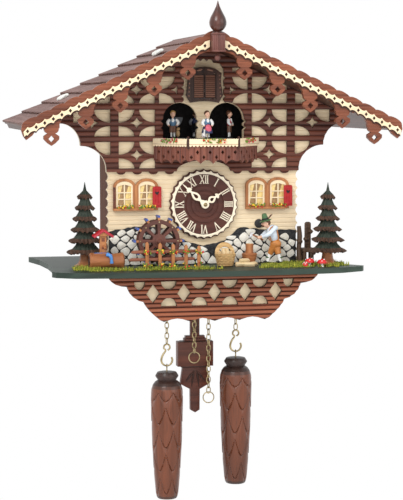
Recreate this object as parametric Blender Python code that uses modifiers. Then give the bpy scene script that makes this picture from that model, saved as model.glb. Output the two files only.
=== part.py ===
"""A wall-hung chalet cuckoo clock, modelled piece by piece.

Every size is in millimetres and MM turns it into Blender's metres. X points to the right of someone
facing the clock, Y points at the wall and Z points up. The back of the case lies in the plane Y = 0.
"""
import math

import bmesh
import bpy
from mathutils import Matrix, Vector

MM = 0.001
GAP = 0.3  # clearance between pieces that touch

# Driving dimensions
ROOF_RIDGE = 62.2
ROOF_HALF = 174.1
ROOF_SLOPE = math.radians(25.4)
ROOF_FRONT = -203.0
SHINGLE_ROWS = 9
SHINGLE_T = 4.5
SHINGLE_STEP = 1.8
ROOF_BOARD_T = 5.0
BARGE_T = 4.7
FACADE_FRONT = -145.0
FACADE_T = 5.0
FACADE_HALF = 91.3
GABLE_HALF = 134.2
LAYER_T = 3.0
CASE_HALF = 76.0
WALL_T = 5.0
BACK_T = 5.0
PLATFORM_TOP = -153.5
PLATFORM_T = 5.0
APRON_FRONT = -197.0
DIAL_Z = -97.1
DIAL_R = 31.7
BUSH_R = 3.6
HAND_Y = -154.6
DOOR_OUTER = 38.2
DOOR_INNER = 6.0
DOOR_SILL = -35.5
CAROUSEL_Y = -136.0
CAROUSEL_R = 31.0
DANCER_RING = 27.0
CUCKOO_HALF = 10.8
CUCKOO_SILL = 0.9
CUCKOO_HEAD = 23.8
WHEEL_X, WHEEL_Z, WHEEL_R = -46.5, -129.0, 23.5
PENDULUM_Y, PENDULUM_Z = -105.0, -118.0
CHAIN_Y = -137.0
CHAIN_X = 33.3
RING_X = 6.9
CHAIN_PIVOT_Z = -151.6
HOUSING_HALF, HOUSING_TOP, HOUSING_BOTTOM, HOUSING_T = 40.0, -60.0, -138.0, 18.0

CREAM = ((0.80, 0.62, 0.40), 0.6, 0.0)
REDWOOD = ((0.20, 0.06, 0.03), 0.45, 0.0)
WALNUT = ((0.10, 0.04, 0.02), 0.5, 0.0)
SHINGLE = ((0.30, 0.22, 0.20), 0.7, 0.0)
STONE = ((0.04, 0.04, 0.04), 0.6, 0.0)
PLATFORM = ((0.06, 0.08, 0.06), 0.6, 0.0)
SPRUCE = ((0.06, 0.07, 0.04), 0.6, 0.0)
HONEY = ((0.45, 0.19, 0.06), 0.5, 0.0)
BRASS = ((0.70, 0.50, 0.22), 0.3, 1.0)
BLACK = ((0.02, 0.02, 0.02), 0.5, 0.0)
WHITE = ((0.80, 0.80, 0.76), 0.5, 0.0)
BLUE = ((0.25, 0.40, 0.60), 0.5, 0.0)
RED = ((0.45, 0.03, 0.03), 0.5, 0.0)
GREEN = ((0.05, 0.20, 0.07), 0.5, 0.0)
STEEL = ((0.6, 0.6, 0.62), 0.3, 1.0)


# ---------------------------------------------------------------- scene and object helpers

def clear_scene():
    for old in list(bpy.data.objects):
        bpy.data.objects.remove(old, do_unlink=True)


def make_collection(name):
    collection = bpy.data.collections.new(name)
    bpy.context.scene.collection.children.link(collection)
    return collection


clear_scene()
CLOCK = make_collection("cuckoo_clock")
HELPERS = make_collection("helpers")


def finish(obj, look):
    colour, roughness, metallic = look
    material = bpy.data.materials.new(obj.name + "_finish")
    material.use_nodes = True
    shader = material.node_tree.nodes["Principled BSDF"]
    shader.inputs["Base Color"].default_value = (*colour, 1.0)
    shader.inputs["Roughness"].default_value = roughness
    shader.inputs["Metallic"].default_value = metallic
    obj.data.materials.clear()
    obj.data.materials.append(material)
    return obj


def link(obj):
    CLOCK.objects.link(obj)
    return obj


def mesh_object(name, bm):
    mesh = bpy.data.meshes.new(name)
    bm.to_mesh(mesh)
    bm.free()
    return link(bpy.data.objects.new(name, mesh))


def as_mesh(obj):
    """Turn a curve, or an object with modifiers, into a plain closed mesh object."""
    bpy.context.view_layer.update()
    evaluated = obj.evaluated_get(bpy.context.evaluated_depsgraph_get())
    mesh = bpy.data.meshes.new_from_object(evaluated)
    bm = bmesh.new()
    bm.from_mesh(mesh)
    bmesh.ops.remove_doubles(bm, verts=bm.verts, dist=1e-6)
    bm.to_mesh(mesh)
    bm.free()
    name, place = obj.name, obj.matrix_world.copy()
    bpy.data.objects.remove(obj, do_unlink=True)
    solid = link(bpy.data.objects.new(name, mesh))
    solid.matrix_world = place
    return solid


def helper(obj):
    """Hide an object that only cuts or joins another."""
    CLOCK.objects.unlink(obj)
    HELPERS.objects.link(obj)
    obj.hide_render = True
    obj.display_type = "WIRE"
    return obj


def boolean(base, others, operation):
    for other in others:
        modifier = base.modifiers.new(operation.lower(), "BOOLEAN")
        modifier.operation = operation
        modifier.object = helper(other)
    return base


def union(base, *others):
    return boolean(base, others, "UNION")


def cut(base, *others):
    return boolean(base, others, "DIFFERENCE")


def set_origin(obj, point):
    """Move an object's origin to a point, leaving its shape where it is."""
    target = Vector(point) * MM
    obj.data.transform(Matrix.Translation(-(obj.matrix_basis.inverted() @ target)))
    obj.location = target
    return obj


# ---------------------------------------------------------------- outlines

def arc(x, z, rx, rz, start, end, count):
    """Points on an elliptical arc, with its angles in degrees."""
    angles = [math.radians(start + (end - start) * i / count) for i in range(count + 1)]
    return [(x + rx * math.cos(a), z + rz * math.sin(a)) for a in angles]


def rectangle(x0, z0, x1, z1):
    return [(x0, z0), (x1, z0), (x1, z1), (x0, z1)]


def diamond(x, z, half_x, half_z):
    return [(x - half_x, z), (x, z - half_z), (x + half_x, z), (x, z + half_z)]


def star(x, z, half):
    """A four-pointed star with sides that curve inwards."""
    points = []
    for quarter in range(4):
        corner = 45 + 90 * quarter
        cx = x + half * math.copysign(1, math.cos(math.radians(corner)))
        cz = z + half * math.copysign(1, math.sin(math.radians(corner)))
        points += arc(cx, cz, half * 0.97, half * 0.97, corner + 225, corner + 135, 2)
    return points


def mirrored(half):
    """Close an outline given from top to bottom on its right side."""
    return half + [(-x, z) for x, z in reversed(half) if x > 1e-6]


# ---------------------------------------------------------------- shape makers

def flat_curve(name, loops, thickness, look, rotation, location):
    curve = bpy.data.curves.new(name, "CURVE")
    curve.dimensions = "2D"
    curve.fill_mode = "BOTH"
    curve.extrude = thickness / 2 * MM
    for loop in loops:
        spline = curve.splines.new("POLY")
        spline.points.add(len(loop) - 1)
        spline.use_cyclic_u = True
        for point, (u, v) in zip(spline.points, loop):
            point.co = (u * MM, v * MM, 0, 1)
    obj = link(bpy.data.objects.new(name, curve))
    obj.rotation_euler = rotation
    obj.location = Vector(location) * MM
    return finish(obj, look)


def board(name, outline, front, thickness, look, holes=()):
    """An upright board, given by its outline in X and Z and its front face's Y."""
    middle = front + thickness / 2
    return flat_curve(name, [outline, *holes], thickness, look, (math.pi / 2, 0, 0), (0, middle, 0))


def shelf(name, outline, top, thickness, look, holes=()):
    """A level board, given by its outline in X and Y and its top face's Z."""
    return flat_curve(name, [outline, *holes], thickness, look, (0, 0, 0), (0, 0, top - thickness / 2))


def side_board(name, outline, left, thickness, look, holes=()):
    """An upright board across the clock, given by its outline in Y and Z and its left face's X."""
    turn = (math.pi / 2, 0, math.pi / 2)
    return flat_curve(name, [outline, *holes], thickness, look, turn, (left + thickness / 2, 0, 0))


def box(name, low, high, look):
    bm = bmesh.new()
    size = Vector(high) - Vector(low)
    middle = (Vector(high) + Vector(low)) / 2
    place = Matrix.Translation(middle * MM) @ Matrix.Diagonal((*(size * MM), 1))
    bmesh.ops.create_cube(bm, size=1, matrix=place)
    return finish(mesh_object(name, bm), look)


def ball(name, centre, radii, look, segments=8, rings=6):
    bm = bmesh.new()
    place = Matrix.Translation(Vector(centre) * MM) @ Matrix.Diagonal((*(Vector(radii) * MM), 1))
    bmesh.ops.create_uvsphere(bm, u_segments=segments, v_segments=rings, radius=1, matrix=place)
    return finish(mesh_object(name, bm), look)


def turned(name, profile, centre, look, steps=16, rotation=(0, 0, 0), closed=False):
    """A turned piece: its profile runs down its outer side as (radius, height)."""
    bm = bmesh.new()
    verts = [bm.verts.new((r * MM, 0, z * MM)) for r, z in profile]
    for a, b in zip(verts, verts[1:]):
        bm.edges.new((a, b))
    if closed:
        bm.edges.new((verts[-1], verts[0]))
    obj = mesh_object(name, bm)
    screw = obj.modifiers.new("turn", "SCREW")
    screw.steps = screw.render_steps = steps
    screw.use_merge_vertices = True
    screw.merge_threshold = 1e-6
    screw.use_smooth_shade = False
    obj.rotation_euler = rotation
    obj.location = Vector(centre) * MM
    return finish(obj, look)


def rod(name, start, end, radius, look, steps=12):
    """A straight round bar between two points."""
    a, b = Vector(start), Vector(end)
    profile = [(0, (b - a).length), (radius, (b - a).length), (radius, 0), (0, 0)]
    turn = (b - a).to_track_quat("Z", "Y").to_euler()
    return turned(name, profile, start, look, steps, turn)


def wire(name, points, radius, look, cyclic=False):
    curve = bpy.data.curves.new(name, "CURVE")
    curve.dimensions = "3D"
    curve.bevel_depth = radius * MM
    curve.bevel_resolution = 2
    curve.use_fill_caps = not cyclic
    spline = curve.splines.new("POLY")
    spline.points.add(len(points) - 1)
    spline.use_cyclic_u = cyclic
    for point, place in zip(spline.points, points):
        point.co = (*(Vector(place) * MM), 1)
    return finish(link(bpy.data.objects.new(name, curve)), look)


# ---------------------------------------------------------------- roof

def roof_line(x, depth):
    """Height of the plane that lies a given depth under the shingles."""
    return ROOF_RIDGE - depth / math.cos(ROOF_SLOPE) - abs(x) * math.tan(ROOF_SLOPE)


def on_slope(along, above):
    """X and Z of a point on the right-hand slope, along it and above its shingles."""
    x = along * math.cos(ROOF_SLOPE) + above * math.sin(ROOF_SLOPE)
    z = ROOF_RIDGE - along * math.sin(ROOF_SLOPE) + above * math.cos(ROOF_SLOPE)
    return x, z


def flip(outline, side):
    return [(side * x, z) for x, z in outline]


UNDER_ROOF = SHINGLE_T + 2 * GAP + ROOF_BOARD_T


def make_shingles(name, side):
    length = ROOF_HALF / math.cos(ROOF_SLOPE)
    row = length / SHINGLE_ROWS
    outline = [(GAP / 2, roof_line(GAP / 2, SHINGLE_STEP))]
    for i in range(SHINGLE_ROWS):
        outline.append(on_slope((i + 1) * row, 0))
        if i < SHINGLE_ROWS - 1:
            outline.append(on_slope((i + 1) * row, -SHINGLE_STEP))
    outline.append(on_slope(length, -SHINGLE_T))
    outline.append((GAP / 2, roof_line(GAP / 2, SHINGLE_T)))
    start = ROOF_FRONT + BARGE_T + GAP
    board(name, flip(outline, side), start, -start, SHINGLE)


def make_roof_board(name, side):
    length = ROOF_HALF / math.cos(ROOF_SLOPE) - 3
    top = SHINGLE_T + GAP
    outline = [(GAP / 2, roof_line(GAP / 2, top)), on_slope(length, -top),
               on_slope(length, -top - ROOF_BOARD_T), (GAP / 2, roof_line(GAP / 2, top + ROOF_BOARD_T))]
    start = ROOF_FRONT + BARGE_T + GAP
    board(name, flip(outline, side), start, -start, REDWOOD)


BRACKETS = [148.4 - 30.6 * i for i in range(5)]
BARGE_BUMP = 12.0


def under_barge(x, drop):
    return x, ROOF_RIDGE - abs(x) * math.tan(ROOF_SLOPE) - drop


def bracket(centre):
    """A block, a neck and a pointed drop that hang upright from the bargeboard."""
    x, z = under_barge(centre, 0)
    right = [(6.4, -18.6), (3, -20.4), (6.6, -25)]
    left = [(-dx, dz) for dx, dz in reversed(right)]
    return [(x + dx, z + dz) for dx, dz in right + [(0, -32)] + left]


def make_bargeboard(name, side):
    outline = []
    bumps = int(ROOF_HALF / BARGE_BUMP)
    for i in range(bumps):
        for part in range(3):
            x = GAP / 2 + (i + part / 3) * (ROOF_HALF - GAP / 2) / bumps
            outline.append(under_barge(x, -1.6 * math.sin(math.pi * part / 3)))
    outline.append(under_barge(ROOF_HALF, 0))
    outline.append(under_barge(ROOF_HALF, 14))
    inner = 14
    for centre in BRACKETS:
        outline.append(under_barge(centre + 9.5, inner))
        outline += bracket(centre)
        outline.append(under_barge(centre - 9.5, inner))
    outline.append(under_barge(GAP / 2, 20))
    holes = [flip(diamond(*under_barge(centre, 25), 2.5, 2.6), side) for centre in BRACKETS]
    board(name, flip(outline, side), ROOF_FRONT, BARGE_T, REDWOOD, holes)


def make_barge_trim(name, side):
    outer = 172.0
    outline = [under_barge(6.5, 6.5), under_barge(outer, 6.5), under_barge(outer, 12), under_barge(6.5, 12)]
    holes = [flip([under_barge(11 + 7.55 * i + dx, 9.25 + dd) for dx, dd in diamond(0, 0, 1.3, 1.3)], side)
             for i in range(22)]
    board(name, flip(outline, side), ROOF_FRONT - GAP - 2, 2, CREAM, holes)


def make_finial_post():
    front, back = -213.0, ROOF_FRONT - GAP
    post = box("finial_post", (-5.8, front, 45), (5.8, back, 63.4), REDWOOD)
    profile = [(0, 86.5), (1, 84.5), (2, 80.5), (4.6, 76.5), (6.8, 72.5), (6.5, 69), (3.4, 66), (4.4, 64.5),
               (4.4, 63), (0, 63)]
    union(post, as_mesh(turned("finial_turning", profile, (0, (front + back) / 2, 0), WALNUT)))


def make_roof():
    for name, side in (("left", -1), ("right", 1)):
        make_shingles("shingles_" + name, side)
        make_roof_board("roof_board_" + name, side)
        make_bargeboard("bargeboard_" + name, side)
        make_barge_trim("barge_trim_" + name, side)
    make_finial_post()


# ---------------------------------------------------------------- case

def dancer_doors(grow=0.0):
    """The two arched doors, joined by the slot that the carousel turns in."""
    inner, outer, sill = DOOR_INNER - grow, DOOR_OUTER + grow, DOOR_SILL - 3.1 - grow
    middle = (inner + outer) / 2
    half = (outer - inner) / 2
    arch = arc(middle, -18, half, 15.2 + grow, 0, 180, 8)
    left = [(-x, z) for x, z in reversed(arch)]
    return [(-outer, sill), (outer, sill), *arch, (inner, DOOR_SILL), (-inner, DOOR_SILL), *left]


def gable_top(gap=0.0):
    """The right half of the gable, from its point down to the corner of the straight walls."""
    return [(0, roof_line(0, UNDER_ROOF + gap)), (GABLE_HALF, roof_line(GABLE_HALF, UNDER_ROOF + gap)),
            *arc(GABLE_HALF, -42.2, 19, 20.6, 90, 180, 4), *arc(115.2, -64.5, 23.9, 22.3, 90, 180, 4)]


def make_facade():
    outline = mirrored(gable_top() + [(FACADE_HALF, PLATFORM_TOP + GAP)])
    cuckoo = rectangle(-CUCKOO_HALF - 0.4, CUCKOO_SILL - 0.4, CUCKOO_HALF + 0.4, CUCKOO_HEAD + 0.4)
    holes = [dancer_doors(), cuckoo, arc(0, DIAL_Z, BUSH_R + 0.4, BUSH_R + 0.4, 0, 330, 11),
             arc(WHEEL_X, WHEEL_Z, 2.4, 2.4, 0, 324, 9)]
    board("facade_panel", outline, FACADE_FRONT, FACADE_T, CREAM, holes)


def make_timber_overlay():
    bottom = [(FACADE_HALF - 15.2 * i + dx, -63 + dz) for i in range(4) for dx, dz in
              [(-1, 0), (-3, -3), (-7.6, -4.2), (-12.2, -3), (-14.2, 0)]]
    outline = mirrored(gable_top(GAP)[:-1] + [(FACADE_HALF, -62)] + bottom + [(30, -62), (15, -56), (0, -54)])
    cuckoo = rectangle(-CUCKOO_HALF - 0.4, CUCKOO_SILL - 0.4, CUCKOO_HALF + 0.4, CUCKOO_HEAD + 0.4)
    holes = [dancer_doors(0.2), cuckoo]
    for x, z in ((62.6, -20), (62.6, -49), (103, -20), (62, 10)):
        holes += [star(x, z, 10), star(-x, z, 10)]
    board("timber_overlay", outline, FACADE_FRONT - GAP - LAYER_T, LAYER_T, REDWOOD, holes)


def make_stone_plinth():
    side = FACADE_HALF - 2
    top = [(side, -121.5), (62, -118), (37, -118.5), (22, -130), (8, -135.8)]
    outline = mirrored([(0, -136.5)] + list(reversed(top)) + [(side, PLATFORM_TOP + GAP)])
    hole = arc(WHEEL_X, WHEEL_Z, 2.4, 2.4, 0, 324, 9)
    board("stone_plinth", outline, FACADE_FRONT - GAP - 2, 2, STONE, [hole])


def make_walls():
    rear = -BACK_T - GAP
    front = FACADE_FRONT + FACADE_T + GAP
    top = roof_line(CASE_HALF, UNDER_ROOF)
    outline = rectangle(front, PLATFORM_TOP + GAP, rear, top)
    sound = [arc(-60 + 9 * math.cos(a), -80 + 9 * math.sin(a), 2.2, 2.2, 0, 315, 7)
             for a in [math.radians(60 * i) for i in range(6)]]
    side_board("left_wall", outline, -CASE_HALF, WALL_T, WALNUT, sound)
    slot = rectangle(-63, -108, -57, -92)
    side_board("right_wall", outline, CASE_HALF - WALL_T, WALL_T, WALNUT, [slot])


BACK_DOOR = (-40.0, -135.0, 40.0, -28.0)


def make_back():
    outline = mirrored([(0, roof_line(0, UNDER_ROOF)), (CASE_HALF, roof_line(CASE_HALF, UNDER_ROOF)),
                        (CASE_HALF, PLATFORM_TOP + GAP)])
    hanger = arc(0, 34, 4, 4, 0, 337.5, 15)
    board("back_panel", outline, -BACK_T, BACK_T, WALNUT, [rectangle(*BACK_DOOR), hanger])
    x0, z0, x1, z1 = BACK_DOOR
    door = board("back_door", rectangle(x0 + 0.5, z0 + 0.5, x1 - 0.5, z1 - 0.5), -4, 3.5, WALNUT)
    set_origin(door, (x0 + 0.3, 0, (z0 + z1) / 2))


def make_platform():
    left_edge = [(-153, -42), (-146, -75), (-142.5, -115), (-142.5, -150), (-147, -186)]
    front = [(-147 + 19 * i, -197 - 15 * math.sin(math.pi * (i + 0.4) / 15.8) ** 0.7) for i in range(1, 15)]
    right_edge = [(141, -192), (143.5, -188), (128, -170), (112, -160), (95, -152)]
    outline = [(-80, -42), *left_edge, (-144, -193), *front, *right_edge, (92, -140), (92, -6), (-80, -6)]
    holes = [rectangle(-11, -110.5, 11, -99.5)]
    for x in (-CHAIN_X, -RING_X, RING_X, CHAIN_X):
        holes.append(rectangle(x - 2.6, -141.2, x + 2.6, -134.2))
    shelf("base_platform", outline, PLATFORM_TOP, PLATFORM_T, PLATFORM, holes)


def apron_outline(inset=0.0):
    top = PLATFORM_TOP - PLATFORM_T - GAP
    half = [(96 - inset, top), *arc(96, -168.5, 17 + inset, 8.5, 120, 180, 3),
            *arc(79, -182.4, 14.5 + inset, 12, 90, 180, 3), (51 - inset, -195 + inset), (43, -199.5 + inset),
            (28, -199.5 + inset), (16, -195.5 + inset), (8, -199 + inset)]
    return mirrored([(0, top)] + half + [(0, -200 + inset)])


def make_apron():
    holes = [diamond(x, -174.3, 6.6, 8.8) for x in (-57, -28.5, 0, 28.5, 57)]
    for z, spots in ((-166, (-69, -42.5, -14.2, 14.2, 42.5, 69)), (-180.5, (-42.5, -14.2, 14.2, 42.5))):
        holes += [arc(x, z, 5.2, 5.8, 180, 360, 4) for x in spots]
    board("apron_board", apron_outline(), APRON_FRONT, 5, REDWOOD, holes)
    board("apron_backing", apron_outline(2.0), APRON_FRONT + 5 + GAP, 2, CREAM)


def make_window(name, left, frame_width, shutter_width):
    """A pair of arched sashes with six panes each, and one shutter folded back at its right."""
    bottom, spring = -102, -80
    half = frame_width / 4
    right = left + frame_width
    arches = arc(right - half, spring, half, 7.6, 0, 160, 6) + arc(left + half, spring, half, 7.6, 20, 180, 6)
    shutter = [(right + shutter_width, bottom + 3), (right + shutter_width, spring), (right + 0.1, spring)]
    outline = [(left, bottom), (right, bottom), (right, bottom + 3), *shutter, *arches]
    panes = []
    for sash in (left + half, right - half):
        for column in (-1, 1):
            for row in range(3):
                x = sash + column * half * 0.3
                z = bottom + 6.8 + row * 6.6
                panes.append(rectangle(x - half * 0.22, z - 2.6, x + half * 0.22, z + 2.6))
    board(name, outline, FACADE_FRONT - GAP - LAYER_T, LAYER_T, HONEY, panes)


# ---------------------------------------------------------------- dial and movement

def make_dial():
    back = FACADE_FRONT - GAP
    disc = [(BUSH_R + 0.3, -back), (33, -back), (33, -back + 2), (28.3, -back + 2), (28.3, -back + 4.4),
            (BUSH_R + 0.3, -back + 4.4)]
    facing = (math.pi / 2, 0, 0)
    turned("dial_disc", list(reversed(disc)), (0, 0, DIAL_Z), WALNUT, 30, facing, closed=True)
    ring = [(28.6, -back + 2 + GAP), (DIAL_R, -back + 2 + GAP), (DIAL_R, -back + 5), (28.6, -back + 5)]
    turned("dial_ring", list(reversed(ring)), (0, 0, DIAL_Z), CREAM, 30, facing, closed=True)


def hand_outline(length, width):
    """A carved hand that points up from its hub at the origin."""
    return mirrored([(0, length), (0.35 * width, length * 0.82), (0.2 * width, length * 0.72),
                     (width, length * 0.52), (0.3 * width, length * 0.36), (0.45 * width, length * 0.22),
                     (2.6, 2.2), (2.9, 0), (1.6, -2.6), (0, -3)])


def make_hand(name, length, width, angle, front, arbor):
    """A hand and the arbor or tube that carries it back into the movement."""
    turn = math.radians(angle)
    outline = [(x * math.cos(turn) + z * math.sin(turn), z * math.cos(turn) - x * math.sin(turn) + DIAL_Z)
               for x, z in hand_outline(length, width)]
    hand = as_mesh(board(name, outline, front, 1.1, CREAM))
    inner, outer, rear = arbor
    if inner:
        profile = [(outer, -front - 0.5), (outer, -rear), (inner, -rear), (inner, -front - 0.5)]
        stem = turned(name + "_stem", profile, (0, 0, DIAL_Z), BRASS, 12, (math.pi / 2, 0, 0), closed=True)
        bore = rod(name + "_bore", (0, front - 1, DIAL_Z), (0, front + 2, DIAL_Z), inner, BRASS)
        cut(hand, as_mesh(bore))
    else:
        stem = rod(name + "_stem", (0, front + 0.5, DIAL_Z), (0, rear, DIAL_Z), outer, BRASS)
    union(hand, as_mesh(stem))
    finish(hand, CREAM)
    set_origin(hand, (0, front, DIAL_Z))


def make_movement():
    front = FACADE_FRONT + FACADE_T + GAP
    rear = front + HOUSING_T
    housing = box("movement_housing", (-HOUSING_HALF, front, HOUSING_BOTTOM),
                  (HOUSING_HALF, rear, HOUSING_TOP), BLACK)
    profile = [(BUSH_R, 150.2), (BUSH_R, 139), (2.4, 139), (2.4, 150.2)]
    bush = turned("bush", profile, (0, 0, DIAL_Z), BRASS, 16, (math.pi / 2, 0, 0), closed=True)
    pin = rod("pendulum_pin", (0, rear - 1, PENDULUM_Z), (0, PENDULUM_Y + 4, PENDULUM_Z), 1.2, STEEL)
    well = rod("arbor_well", (0, front - 2, DIAL_Z), (0, front + 6, DIAL_Z), 2.4, BLACK)
    pockets = [box("pocket", (side * 29 - 8, rear - 15.6, -126), (side * 29 + 8, rear + 1, -74), BLACK)
               for side in (-1, 1)]
    cut(housing, as_mesh(well), *pockets)
    union(housing, as_mesh(bush), as_mesh(pin))
    for name, side in (("battery_a", -1), ("battery_b", 1)):
        cell = [(0, -74.5), (2.6, -74.5), (2.6, -75.8), (7.2, -75.8), (7.2, -125.5), (0, -125.5)]
        turned(name, cell, (side * 29, rear - 7.8, 0), STEEL, 16)
    knob = [(0, 12), (6, 12), (7, 10.5), (7, 5), (3, 5), (3, GAP), (0, GAP)]
    turned("setting_knob", knob, (0, rear, DIAL_Z), BLACK, 16, (-math.pi / 2, 0, 0))


def make_sound_parts():
    cone = [(0, 0), (24, 0), (24, 3), (14, 12), (14, 18), (0, 18)]
    turned("speaker", list(reversed(cone)), (-CASE_HALF + WALL_T + GAP, -60, -80), BLACK, 20,
           (0, math.pi / 2, 0))
    stem = box("sound_switch", (CASE_HALF - 6, -61.5, -104), (CASE_HALF + 0.5, -58.5, -100), BLACK)
    cap = box("switch_cap", (CASE_HALF + GAP, -64, -106), (CASE_HALF + 3, -56, -98), BLACK)
    union(stem, cap)
    set_origin(stem, (CASE_HALF, -60, -102))


# ---------------------------------------------------------------- cuckoo

CUCKOO_Z = 11.0


def make_cuckoo_frame():
    half, low, high = 17.0, -3.1, 29.8
    outline = mirrored([(0, high), (7, 28.5), (half, 24.5), (half - 1.5, 12), (half, 3), (11, low), (0, low + 1)])
    opening = rectangle(-CUCKOO_HALF - 0.4, CUCKOO_SILL - 0.4, CUCKOO_HALF + 0.4, CUCKOO_HEAD + 0.4)
    board("cuckoo_frame", outline, -152.0, 3.4, WALNUT, [opening])


def make_cuckoo_doors():
    for name, side in (("cuckoo_door_left", -1), ("cuckoo_door_right", 1)):
        outline = rectangle(0.2, CUCKOO_SILL, CUCKOO_HALF - 0.1, CUCKOO_HEAD)
        door = board(name, flip(outline, side), -151.7, 1.5, WALNUT)
        set_origin(door, (side * (CUCKOO_HALF + 0.1), -151.9, (CUCKOO_SILL + CUCKOO_HEAD) / 2))


def make_cuckoo():
    body = ball("cuckoo_bird", (0, -130, CUCKOO_Z - 1), (5.4, 8.5, 5.2), BLUE)
    head = ball("head", (0, -136.6, CUCKOO_Z + 3.5), (3.9, 3.9, 3.9), BLUE)
    beak = rod("beak", (0, -138, CUCKOO_Z + 3.4), (0, -141.6, CUCKOO_Z + 3), 1.1, HONEY, 8)
    tail = box("tail", (-2.4, -124, CUCKOO_Z - 2.4), (2.4, -115, CUCKOO_Z - 0.6), BLUE)
    arm = box("slide_arm", (-1.6, -131, 3), (1.6, -92, 5.4), STEEL)
    union(body, head, as_mesh(beak), tail, arm)
    set_origin(body, (0, -141.6, CUCKOO_Z))
    guide = box("cuckoo_guide", (-9, FACADE_FRONT + FACADE_T + GAP, 0.2), (9, -84, 2.6), STEEL)
    post = box("guide_post", (-4.5, -104, 1), (4.5, -97, 9), STEEL)
    window = box("guide_window", (-2, -106, 2.7), (2, -95, 5.8), STEEL)
    union(guide, post)
    cut(guide, window)


# ---------------------------------------------------------------- carousel and balcony

def make_carousel():
    top = DOOR_SILL - 0.5
    disc = [(0, top), (CAROUSEL_R, top), (CAROUSEL_R, top - 2), (2.5, top - 2), (2.5, HOUSING_TOP + GAP),
            (0, HOUSING_TOP + GAP)]
    turned("carousel", disc, (0, CAROUSEL_Y, 0), GREEN, 32)
    figures = (("dancer_boy_dog", 180, BLUE), ("dancer_girl", 270, RED), ("dancer_boy_red", 0, RED),
               ("dancer_girl_inside", 90, GREEN))
    for name, angle, look in figures:
        x = DANCER_RING * math.cos(math.radians(angle))
        y = CAROUSEL_Y + DANCER_RING * math.sin(math.radians(angle))
        make_dancer(name, x, y, top + GAP, look)


def make_dancer(name, x, y, floor, look):
    """A small turned figure on a round foot."""
    skirt = 3.6 if "girl" in name else 2.4
    profile = [(0, 27.4), (1.6, 27), (2.6, 25.4), (2.6, 23.6), (1.4, 22), (3.5, 20.6), (3.2, 15), (2.4, 13.4),
               (skirt, 6.5), (1.8, 6.2), (2, 0.8), (3.4, 0.8), (3.4, 0), (0, 0)]
    turned(name, profile, (x, y, floor), look, 8)


def balcony_path(inset):
    """The balcony's three sides from above, from its left end to its right end."""
    return [(-51 + inset * 1.2, -148.6), (-24.5 + inset * 0.4, -182 + inset), (24.5 - inset * 0.4, -182 + inset),
            (51 - inset * 1.2, -148.6)]


def make_balcony():
    thickness = 2.0
    outer, inner = balcony_path(0), balcony_path(thickness)
    floor = as_mesh(shelf("balcony", outer, -39.4, 2, REDWOOD))
    wall = as_mesh(shelf("balcony_wall", outer + list(reversed(inner)), -38, 19.5, REDWOOD))
    union(floor, wall)
    proud = balcony_path(-GAP)
    rail = balcony_path(-1.9)
    outline = [(x, min(y, -148.8)) for x, y in rail + list(reversed(proud))]
    shelf("balcony_trim", outline, -34.8, 9, CREAM)


# ---------------------------------------------------------------- scenery on the platform

def tree_profile(base, height, radius, tiers=6):
    """Skirts that get wider on the way down, above a flared trunk."""
    points = [(0, base + height)]
    trunk = height * 0.17
    for i in range(tiers):
        share = (i + 1) / tiers
        low = base + trunk + (height - trunk) * 0.78 * (1 - share) ** 1.05
        wide = radius * (0.5 + 0.5 * share)
        points += [(wide * 0.5, low + 5.2), (wide, low), (wide * 0.55, low - 0.8)]
    return points + [(radius * 0.22, base + trunk * 0.7), (radius * 0.45, base), (0, base)]


def make_trees():
    floor = PLATFORM_TOP + GAP
    turned("tree_left", tree_profile(floor, 78, 17.2), (-111.5, -146, 0), SPRUCE, 12)
    turned("tree_right", tree_profile(floor, 77, 17), (112, -176, 0), SPRUCE, 12)


def make_fountain():
    floor = PLATFORM_TOP + GAP
    log = as_mesh(rod("fountain", (-111.5, -173, floor + 7.2), (-80, -173, floor + 7.2), 7, HONEY))
    trough = box("trough_hollow", (-94, -178, floor + 7), (-84, -168, floor + 16), BLUE)
    cut(log, trough)
    post = box("pump_post", (-101, -169, floor), (-95, -163, -122), HONEY)
    roof = board("pump_roof", [(-98, -118.5), (-88.5, -126), (-89.5, -127.6), (-98, -121.5), (-106.5, -127.6),
                               (-107.5, -126)], -172, 11, RED)
    union(log, post, as_mesh(roof))


def make_fence():
    floor = PLATFORM_TOP + GAP
    rail = box("fence", (-75, -184.5, -139), (-13, -182.5, -136), HONEY)
    second = box("fence_rail", (-77, -184.5, -146), (-16, -182.5, -143), HONEY)
    posts = [box("fence_post", (-62 + 12 * i, -185, floor), (-58.8 + 12 * i, -182, -128 - i), HONEY)
             for i in range(4)]
    union(rail, second, *posts)


def make_yard():
    floor = PLATFORM_TOP + GAP
    basket = [(0, floor + 19), (7, floor + 19), (9, floor + 15), (7.6, floor + 3), (5.6, floor), (0, floor)]
    turned("basket", basket, (16, -168, 0), HONEY, 16)
    stump = [(0, floor + 20), (5.6, floor + 20), (5.8, floor + 6), (7.2, floor), (0, floor)]
    turned("stump", stump, (41, -160, 0), HONEY, 14)
    bench = box("log_bench", (93, -158.5, floor + 10), (105, -148, floor + 14), WALNUT)
    back = box("bench_back", (97, -151.5, floor + 12), (103, -148.5, floor + 37), WALNUT)
    legs = [box("bench_leg", (x, -157.5, floor), (x + 3, -149.5, floor + 11), WALNUT) for x in (94, 101)]
    union(bench, back, *legs)


WOODCUTTER_X, WOODCUTTER_Y = 63.0, -163.0
SHOULDER = (64.0, WOODCUTTER_Y, -118.5)


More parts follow.
